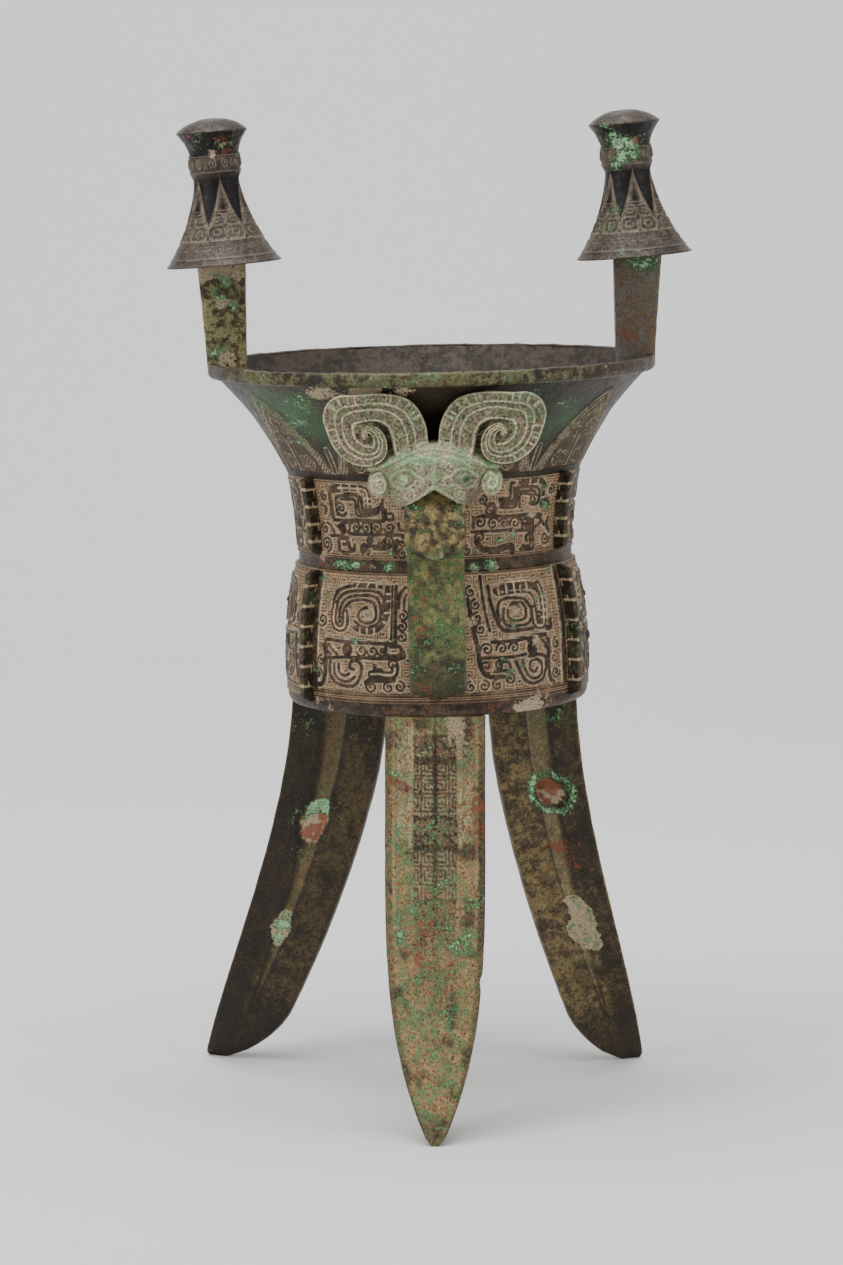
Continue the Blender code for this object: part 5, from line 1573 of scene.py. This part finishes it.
def carve_cap(profile):
    """Height, ridge, pale lines and the share of blue-black metal of the whole cap."""
    up = profile[:, 1] / MM + np.arange(len(profile)) * 1e-6
    sector = Panel(np.linspace(-SECTOR_HALF, SECTOR_HALF, SECTOR_COLUMNS, endpoint=False), up)
    sector.ground = thunder(len(up), SECTOR_COLUMNS, 7, 0.9) * ((up > 4.8) & (up < 12.2))[:, None]
    for side in (-1, 1):
        for inset in (0.3, 1.9):
            foot = side * (SECTOR_HALF - inset)
            middle = (side * 0.5 * (SECTOR_HALF - inset), 31.4)
            sector.line([(foot, TRIANGLE_FOOT), middle, (0, 43.6 - 1.6 * inset)], 0.6, 0.8)
        sector.line([(side * 3.8, 27.4), (side * 1.9, 32.8), (0, 38.0)], 0.5, 0.8)
        sector.line(spiral(side * 4.2, 51.0, 2.7, 1.5, 90, side), 0.6, 0.8)
        sector.line([(side * 7.6, 48.9), (side * 8.4, 52.9)], 0.6, 0.8)
        for high, wide in ((23.0, 2.6), (16.4, 3.0)):
            for inset in (0.0, 1.8):
                left, right = side * (0.8 + inset), side * (7.2 - inset)
                top, bottom = high + wide - inset, high - wide + inset
                box = [(left, top), (right, top), (right, bottom), (left, bottom), (left, top - 1.2)]
                sector.line(box, 0.5, 0.8)
    sector.line([(-4.2, 27.0), (0, 27.1), (4.2, 27.0)], 0.5, 0.8)
    height, ridge = sector.heights(0.32)
    pale = 0.12 * sector.outline()
    place = up[:, None]
    reach = SECTOR_HALF * (1.0 - np.clip((place - TRIANGLE_FOOT) / TRIANGLE_RISE, 0, 1))
    fields = (place < 46.0) & (np.abs(sector.across)[None, :] > reach)
    carved = ~fields & (place > 2.8) & (place < 54.4)
    height = np.where(carved, height, 0.0)
    ridge = np.where(carved, 0.95 - 0.5 * ridge, 0.9)
    pale = np.where(carved, pale, 0.0)
    drop = (np.abs(sector.across)[None, :] < 0.33 * (32.8 - place)) & (place > 26.4)
    for line in (12.6, 4.2, 46.9, 54.8):
        share = smooth(0.5 - np.abs(place - line), 0.0, 0.3)
        height = np.maximum(height, 0.45 * share)
        ridge = np.minimum(ridge, 1.0 - 0.55 * share)
    pale = pale * smooth(place, 4.0, 14.0)
    fields = 0.95 * (fields | drop)
    return [np.tile(sheet, (1, CAP_SECTORS)) for sheet in (height, ridge, pale, fields)]


print("blue-black share of a cap:", round(float(carve_cap(cap_profile())[3].mean()), 2))

# %% Make a cap


def add_cap(name, side, material, marks):
    """A cap in its place on a post, leaning a little further than the body."""
    profile = cap_profile()
    height, ridge, pale, blue = carve_cap(profile)
    normal = normals(profile)
    start = -18.0 if side < 0 else -21.0
    turn = np.linspace(start, start + 360.0, CAP_SECTORS * SECTOR_COLUMNS, endpoint=False)[None, :]
    points = round_points(turn, profile[:, 1:2], profile[:, :1])
    uneven = cast_skin(points, 0.006, 61 + side, 0.002, 63 + side)
    knob = smooth(points[..., 2], 0.053, 0.062)
    proud = (0.9 * height + (0.10 + 0.22 * knob) * uneven) * MM * smooth(profile[:, :1], 0.001, 0.006)
    proud = np.where(profile[:, 1:2] < 0.0012, np.minimum(proud, 0.00012), proud)
    radial = profile[:, :1] - normal[:, :1] * proud
    lifted = profile[:, 1:2] - normal[:, 1:2] * proud
    under = len(UNDER_SHARES)
    radial[:under] = profile[:under, :1]
    lifted[:under + 1] = profile[:under + 1, 1:2]
    points = round_points(turn, lifted, radial)
    x, z = rotate(points[..., 0], points[..., 2], CAP_LEAN)
    placed = settle(np.stack([x + side * POST_SPACING / 2, points[..., 1], z + CAP_Z], -1))
    turn_mark = around(np.broadcast_to(turn, ridge.shape))
    up = profile[:, 1:2] / MM
    patches = {key: spots(turn_mark / 6, up, places) for key, places in marks.items()}
    black = patches.pop("black") * smooth(up, 53.5, 55.0) * smooth(67.2 - up, 0.0, 1.0)
    zone = np.maximum(blue, np.clip(black, 0.0, 0.95))
    add_grid(name, placed, material, closed=True, ends=True, ridge=ridge, edge=pale, zone=zone, **patches)


cap_patina = patina("cap_patina", (62, 54, 48), (82, 73, 65), (150, 134, 114), green=0.2, crust=0.2, rust=0.2,
                    gloss=0.34, grain=1.2, mottle=1.4, zone=(14, 12, 14))
add_cap("left_cap", -1, cap_patina, {
    "green": (
        (-3, 65, 3, 0.9), (2, 62, 3, 1), (5, 60, 4, 1), (7, 64, 3, 0.8), (-1, 59, 3, 0.6), (-8, 60, 4, 0.6),
    ),
    "earth": ((4, 61, 4, 0.9), (-5, 64, 3, 0.6), (0, 56, 3, 0.9), (0, 70, 10, 0.3), (5, 55, 3, 0.6)),
    "rust": ((3, 63, 3, 1.2), (6, 58, 4, 1.1), (1, 61, 2, 1.0), (-7, 65, 3, 0.8), (4, 49, 6, 0.5)),
    "black": ((-4, 60, 9, 1.6), (4, 58, 7, 1.0), (14, 60, 12, 1.0), (-14, 60, 12, 1.0)),
})
add_cap("right_cap", 1, cap_patina, {
    "green": (
        (-5, 60, 4, 1.5), (-2, 57, 5, 1.7), (2, 56, 4, 1.6), (-2, 51, 5, 1.6), (2, 50, 4, 1.4),
        (-5, 47, 4, 1.3), (-6, 66, 3, 1), (6, 57, 3, 0.9), (-8, 14, 5, 0.8), (-6, 24, 4, 0.8),
        (-1, 3, 5, 0.6), (-4, 7, 5, 0.6),
    ),
    "earth": ((0, 70, 10, 0.3), (-1, 56, 5, 0.9), (1, 50, 5, 0.8), (6, 60, 3, 0.9), (5, 50, 3, 0.5)),
    "rust": ((3, 58, 3, 1.2), (0, 50, 3, 0.8), (-6, 53, 3, 0.7)),
    "black": ((4, 62, 7, 1.5), (14, 60, 14, 1.0), (-14, 60, 14, 0.8)),
})
print("caps are", round(2 * CAP_RADIUS / MM, 1), "mm wide")

# %% [markdown]
# The handle is a flat strap with a low ridge down its middle. It comes out of the animal's mouth,
# stands off far enough for two fingers, and curls back in to the foot of the lower register. A smooth
# curve through a few stations gives its long soft sweep, and a section is swept along it.

# %% Sweep a bar
BAR_COLUMNS = 26


def sweep_bar(path, width, dip, thickness, roof):
    """Sections of a roof-shaped bar along a path of (distance from the axis, height) in metres."""
    normal = normals(path)
    share = np.linspace(-1.0, 1.0, BAR_COLUMNS)[None, :]
    rounding = 0.0009 * smooth(np.abs(share), 0.86, 1.0) ** 2
    drop = roof * np.abs(share) ** 1.15 + rounding
    front_out = path[:, :1] - normal[:, :1] * drop
    front_up = path[:, 1:] - normal[:, 1:] * drop - dip[:, None] * (1 - np.abs(share))
    back = thickness - 0.0004
    flat = np.zeros(front_out.shape)
    out = np.hstack([front_out, path[:, :1] - normal[:, :1] * back + flat])
    up = np.hstack([front_up, path[:, 1:] - normal[:, 1:] * back + flat])
    across = width / 2 * share + flat
    side = np.hstack([across, 0.985 * across[:, ::-1]])
    return np.stack([side, -out, up], -1), np.hstack([share + flat, share[:, ::-1] + flat])


print("a bar has", 2 * BAR_COLUMNS, "points in each section")

# %% Strap
STRAP_WIDTH = 0.0280
STRAP_THICKNESS = 0.0050
STRAP_RIDGE = 0.0018
STRAP_KEEL = 0.0026
HANDLE_REACH = 0.1120
HOOD_POINT = 0.0048

strap_patina = patina("strap_patina", (124, 122, 76), (50, 72, 42), (60, 56, 40),
                      green=0.66, crust=0.1, rust=0.5, mottle=1.8, fleck=1.0, zone=(42, 37, 26))
strap_stations = [
    (HANDLE_REACH - 0.0010, NECK_Z - 0.0150), (HANDLE_REACH + 0.0003, NECK_Z - 0.0315),
    (HANDLE_REACH, UPPER_Z - 0.0140), (HANDLE_REACH - 0.0020, UPPER_Z - 0.0340),
    (HANDLE_REACH - 0.0060, LOWER_Z + 0.0180), (HANDLE_REACH - 0.0130, LOWER_Z + 0.0065),
    (HANDLE_REACH - 0.0240, LOWER_Z + 0.0010), (BELLY_RADIUS - 0.0016, LOWER_Z + 0.0005),
]
strap_path = curve(strap_stations, 0.0009)
keel = STRAP_KEEL * smooth(LOWER_Z + 0.0140 - strap_path[:, 1], 0.0, 0.0120)
points, share = sweep_bar(strap_path, STRAP_WIDTH, keel, STRAP_THICKNESS, STRAP_RIDGE)
points[..., 1] -= 0.00012 * cast_skin(points, 0.008, 71, 0.0028, 72, 0.5)
# Towards the bottom the strap is less green and darker; the darkening is painted shade where it turns under.
low_share = 1.0 - smooth(points[..., 2], LOWER_Z, LOWER_Z + 0.04)
# Painted shadow of the hood: the strap darkens from just below the hood's V edge upwards.
hood_edge = NECK_Z - 0.0310 - HOOD_POINT * (1.0 - np.abs(share))
hood_shadow = 0.9 * smooth(points[..., 2] - hood_edge, 0.0, 0.0012)
stains = 0.8 * smooth(lumps(points, 0.009, 70), 0.35, 0.8)
add_grid("strap", settle(points), strap_patina, closed=True, ends=True,
         ridge=0.66 + 0.5 * lumps(points, 0.0026, 79),
         green=0.25 - 0.4 * low_share + 0.35 * lumps(points, 0.012, 74),
         rust=0.25 + 0.45 * lumps(points, 0.010, 73),
         zone=np.clip(0.75 * low_share + stains + hood_shadow, 0, 0.9))
print("strap:", points.shape[0], "sections")

# %% [markdown]
# A hood covers the top of the strap, where the animal's mouth holds it. Its lower edge is a shallow
# V that stands proud of the strap.

# %% Hood
HOOD_WIDTH = 0.0295
HOOD_RIDGE = 0.0030

hood_patina = patina("hood_patina", (162, 144, 94), (56, 50, 38), (52, 44, 34), zone=(84, 122, 84),
                     green=0.60, crust=0.1, rust=0.5, gloss=0.5, grain=1.3, mottle=1.1, fleck=0.8)
hood_stations = [
    (HANDLE_REACH - 0.0060, NECK_Z), (HANDLE_REACH + 0.0010, NECK_Z - 0.0090),
    (HANDLE_REACH + 0.0050, NECK_Z - 0.0200), (HANDLE_REACH + 0.0046, NECK_Z - 0.0296),
]
hood_path = curve(hood_stations, 0.0006)
fall = np.linspace(0.0, 1.0, len(hood_path))
points, share = sweep_bar(
    hood_path, HOOD_WIDTH, HOOD_POINT * fall**3, STRAP_THICKNESS + HOOD_RIDGE, HOOD_RIDGE
)
uneven = cast_skin(points, 0.006, 75, 0.002, 76)
points[..., 1] -= 0.00022 * uneven
green_foot = NECK_Z - 0.025 - HOOD_POINT * (1 - np.abs(share))
add_grid("hood", settle(points), hood_patina, closed=True, ends=True, rust=0.15,
         ridge=0.54 + 0.55 * lumps(points, 0.0031, 78) + 0.2 * uneven,
         green=0.1 + 0.3 * lumps(points, 0.009, 77) + 0.5 * smooth(points[..., 2], NECK_Z - 0.012, NECK_Z),
         zone=0.75 * smooth(green_foot - points[..., 2], 0.0, 0.005))
print("hood:", points.shape[0], "sections")

# %% [markdown]
# The animal's head is broad and short, with a domed brow, round eyes set wide apart and leaf-shaped
# ears. It is a grid too: rows go up from the muzzle to the crown, columns go across the face and
# back to the wall. Brows, lids and nostrils are strokes on a panel, as the masks are.

# %% Carve the face
FACE_POINTS = 130
FACE_HALF = 34.0
MOUTH_DEPTH = 13.0

head_stations = np.array([
    (-13.5, 108.0, 14.0), (-11.0, 112.4, 16.0), (-5.0, 116.3, 20.5), (3.0, 115.4, 24.5), (9.5, 112.6, 32.0),
    (14.0, 111.6, 27.0), (18.5, 109.6, 17.0), (22.0, 105.5, 4.5),
])
head_rows = curve(head_stations, 0.42)
rise, front, half = head_rows.T
order = np.maximum.accumulate(rise + np.arange(len(rise)) * 1e-6)
face = Panel(np.linspace(-FACE_HALF, FACE_HALF, FACE_POINTS), order)
for side in (-1, 1):
    face.stroke([(0, 20.4), (side * 9, 18.8), (side * 19, 14.6), (side * 31, 9.0)], 3.0, 1.2)
    face.line([(side * 2, 14.6), (side * 6, 15.4), (side * 12, 13.4), (side * 19, 9.6)], 0.9, 0.5)
    face.line([(side * 7.5, 5.4), (side * 11, 8.6), (side * 16, 9.0), (side * 21.0, 5.6)], 1.0, 0.8)
    face.line([(side * 9, 2.6), (side * 14, 0.2), (side * 19, 1.4), (side * 21.0, 5.0)], 0.9, 0.7)
    face.boss(side * 14.8, 4.6, 3.0, 1.9)
    face.line(spiral(side * 7.6, 3.4, 3.0, 1.3, 90, side), 0.8, 0.5)
    face.line(spiral(side * 12.4, -2.6, 3.2, 1.4, 90, side), 0.9, 0.6)
    face.line(spiral(side * 8.0, 10.6, 2.4, 1.2, 270, -side), 0.8, 0.5)
    face.line([(side * 0.8, 0.9), (side * 7.0, -3.6), (side * 14.2, -8.4)], 1.0, 0.6)
face.stroke([(0, 12), (0, 6), (0, 1.4)], 1.6, 0.6)
lift, _ = face.heights(0.0)
pale = 0.36 * face.outline()
print("highest point of the face's carving, mm:", round(float(lift.max()), 1))

# %% Head
across = half[:, None] * np.linspace(-1.0, 1.0, FACE_POINTS)[None, :]
column = ((across + FACE_HALF) / (2.0 * FACE_HALF) * (FACE_POINTS - 1)).round().astype(int)
column = np.clip(column, 0, FACE_POINTS - 1)
lift = np.take_along_axis(lift, column, axis=1)
pale = np.take_along_axis(pale, column, axis=1)
mouth = smooth(-0.4 - 0.60 * np.abs(across) - rise[:, None], -0.4, 0.6)
mouth = mouth * smooth(15.6 - np.abs(across), -0.3, 0.3)
depth = front[:, None] - 13.0 * np.abs(across / half[:, None]) ** 2.45 + 1.1 * lift - MOUTH_DEPTH * mouth
side_columns = np.linspace(0.0, 1.0, 14)[None, 1:]
inside_wall = np.sqrt((wall_radius(NECK_Z + rise[:, None] * MM) / MM - 0.9) ** 2 - half[:, None] ** 2)
right_depth = blend(depth[:, -1:], inside_wall, side_columns)
left_depth = blend(depth[:, :1], inside_wall, side_columns)[:, ::-1]
right_across = half[:, None] + 0.0 * side_columns
all_across = np.hstack([-right_across, across, right_across])
all_depth = np.hstack([left_depth, depth, right_depth])
z = np.broadcast_to(NECK_Z + rise[:, None] * MM, all_across.shape)
points = np.stack([all_across * MM, -all_depth * MM, z], -1)
points[..., 1] -= 0.00018 * cast_skin(points, 0.006, 81, 0.0022, 82, 0.5)
plain_side = 0.0 * right_depth
# Painted highlight: the upper rows of the head, the brow, are lighter, as where light falls on its top.
brow_highlight = smooth(rise[:, None], 10.0, 15.0)
face_ridge = 0.36 + 0.34 * np.clip(lift, 0, 1) + 0.3 * brow_highlight - 0.36 * mouth
ridge = np.hstack([0.8 + plain_side, face_ridge, 0.8 + plain_side])
right_eye = np.exp(-((across - 15.6) / 2.6) ** 2 - ((rise[:, None] - 4.4) / 2.6) ** 2)
# Painted shadow on the lower right of the face, beside the jaw.
jaw_shadow = smooth(across, 13.0, 18.0) * smooth(-rise[:, None], -2.0, 4.0)
head_patina = patina("head_patina", (188, 178, 150), (126, 166, 120), (104, 88, 70), green=0.46, crust=0.2,
                     gloss=0.5, grain=1.2, mottle=1.7, fleck=0.35)
# In zone the right eye is dark metal; the jaw's shadow and 0.4 on the head's right flank are painted shade on
# that side.
add_grid("head", settle(points), head_patina, ends=True, ridge=ridge,
         edge=np.hstack([plain_side, pale * (1.0 - mouth), plain_side]),
         green=0.1 + 0.4 * lumps(points, 0.011, 83), earth=0.3 * lumps(points, 0.014, 84),
         zone=np.hstack([plain_side, np.clip(0.95 * right_eye + 0.85 * jaw_shadow, 0, 0.95), plain_side + 0.4]))
print("head:", points.shape[0], "rows of", points.shape[1])

# %% [markdown]
# Each ear is a squashed ball, turned a little outwards, with a spiral cut in its face. The two stand
# at slightly different distances from the middle, as they do on the real one.

# %% Ears
EAR_WIDTH = 0.0058
EAR_DEPTH = 0.0052
EAR_HEIGHT = 0.0068
EAR_TILT = math.radians(12.0)
EAR_FRONT = 0.1015
LEFT_EAR_OUT = 0.0262
RIGHT_EAR_OUT = 0.0276


def add_ear(name, side, middle, material):
    """A squarish ear with a spiral cut in its face."""
    up = np.linspace(-90.0, 90.0, 44)[:, None]
    turn = np.linspace(0.0, 360.0, 84, endpoint=False)[None, :]
    ring = np.cos(np.radians(up)) ** 0.8
    x = EAR_WIDTH * ring * np.sin(np.radians(turn))
    y = -EAR_DEPTH * ring * np.cos(np.radians(turn))
    z = EAR_HEIGHT * np.sin(np.radians(up)) + 0.0 * x
    reach = np.hypot(x / EAR_WIDTH, z / EAR_HEIGHT)
    swirl = smooth(np.cos(math.tau * 2.1 * reach - side * np.arctan2(z, x)), 0.2, 0.8) * (y < -0.0004)
    swirl = swirl * smooth(reach, 0.12, 0.25) * smooth(0.95 - reach, 0.0, 0.15)
    y = y - 0.0005 * swirl
    x, z = rotate(x, z, -side * EAR_TILT)
    points = np.stack([x + side * middle, y - EAR_FRONT, z + NECK_Z + 0.0022], -1)
    add_grid(name, settle(points), material, closed=True, ends=True, earth=0.3,
             ridge=0.5 + 0.4 * swirl, edge=0.15 + 0.6 * swirl, green=0.5 * lumps(points, 0.007, 85) - 0.2)


add_ear("left_ear", -1, LEFT_EAR_OUT, head_patina)
add_ear("right_ear", 1, RIGHT_EAR_OUT, head_patina)
print("ears stand", round(LEFT_EAR_OUT / MM), "and", round(RIGHT_EAR_OUT / MM), "mm from the middle")

# %% [markdown]
# The great horns lie flat against the lip. Each rises from the brow, sweeps outwards and coils in on
# itself, with grooves that follow the coil. A flat bar swept along the coil gives all of it at once.
# A station of the path is its place across and up in millimetres, and half the bar's width there.

# %% Horns
HORN_PATH = [
    (9.4, 15.0, 9.0), (11.4, 22.0, 9.0), (12.6, 29.0, 9.2), (17.0, 36.0, 8.8), (26.5, 39.4, 7.0),
    (38.0, 38.8, 7.0),
    (45.6, 36.2, 9.2), (46.2, 28.8, 7.0), (43.4, 21.7, 6.0), (37.6, 17.2, 5.5), (32.0, 16.3, 5.0),
    (28.0, 17.8, 4.4),
    (26.6, 21.8, 3.5), (27.6, 25.8, 2.9), (29.8, 28.2, 2.3), (32.6, 29.2, 1.8), (34.6, 27.0, 1.5),
    (33.6, 24.8, 1.3),
]
HORN_LINES = (0.95, 0.31, -0.13, -0.88)
HORN_THICKNESS = 0.0055
HORN_FRONT = 0.1090


def add_horn(name, side, material):
    """A flat horn swept along its coil, with raised lines that follow it and a web inside the coil."""
    path = curve(HORN_PATH, 0.55)
    middle, half = path[:, :2], path[:, 2:]
    normal = normals(middle)
    length = np.concatenate([[0.0], np.cumsum(np.hypot(*np.diff(middle, axis=0).T))])[:, None]
    travel = length / length[-1]
    share = np.linspace(-1.0, 1.0, 42)[None, :]
    fade = smooth(travel, 0.0, 0.08)
    lines = np.max([np.exp(-((share - place) * half / 0.36) ** 2) for place in HORN_LINES], axis=0)
    lines = lines * (0.78 + 0.22 * np.sin(2.3 * length + 5.0 * share))
    wobble = 0.9 * np.sin(1.7 * length) + 0.7 * np.sin(0.61 * length)
    ticks = smooth(np.cos(length / 2.8 * math.tau + wobble), 0.6, 0.95)
    ticks = ticks * smooth(share, 0.36, 0.46) * smooth(0.93 - share, 0.0, 0.1)
    carved = np.maximum(lines, 0.55 * ticks * smooth(half, 4.0, 5.5)) * fade + (1.0 - fade) * 0.6
    front = HORN_FRONT / MM - 0.4 * (side < 0) - np.abs(share) ** 7
    front = front - 0.95 * (1.0 - carved) - 0.8 * smooth(travel, 0.62, 0.95)
    inner = smooth(travel, 0.45, 0.55)
    web_share = -1.0 + (np.linspace(-2.1, -1.04, 7)[None, :] + 1.0) * inner
    web_front = front[:, :1] - 1.5 * inner * smooth(-web_share, 1.0, 1.1)
    share = np.hstack([web_share, share + 0.0 * half])
    front = np.hstack([web_front, front])
    back = HORN_FRONT / MM - HORN_THICKNESS / MM + 0.0 * front
    x = middle[:, :1] + normal[:, :1] * half * share
    z = middle[:, 1:] + normal[:, 1:] * half * share
    x = np.hstack([x, x[:, ::-1]])
    z = np.hstack([z, z[:, ::-1]])
    out = np.hstack([front, back])
    squeeze = 0.965 if side < 0 else 1.0
    points = np.stack([side * squeeze * x, -out, z + NECK_Z / MM], -1) * MM
    points[..., 1] -= 0.00018 * cast_skin(points, 0.006, 91, 0.0022, 92)
    web = 0.0 * web_front
    ridge = np.hstack([web + 0.35, 0.32 + 0.64 * carved, 0.7 + 0.0 * back])
    edge = np.hstack([web, 0.26 * lines * fade, 0.0 * back])
    add_grid(name, settle(points), material, closed=True, ends=True, flip=side > 0, ridge=ridge, edge=edge,
             green=0.05 + 0.45 * lumps(points, 0.012, 93), earth=0.15)


horn_patina = patina("horn_patina", (204, 186, 156), (144, 164, 124), (80, 68, 53), green=0.36, crust=0.38,
                     rust=0.15, gloss=0.5, grain=1.4, mottle=1.9, fleck=0.5)
for side, name in ((-1, "left_horn"), (1, "right_horn")):
    add_horn(name, side, horn_patina)
print("a horn's path reaches", max(x for x, _, _ in HORN_PATH), "mm from the middle")
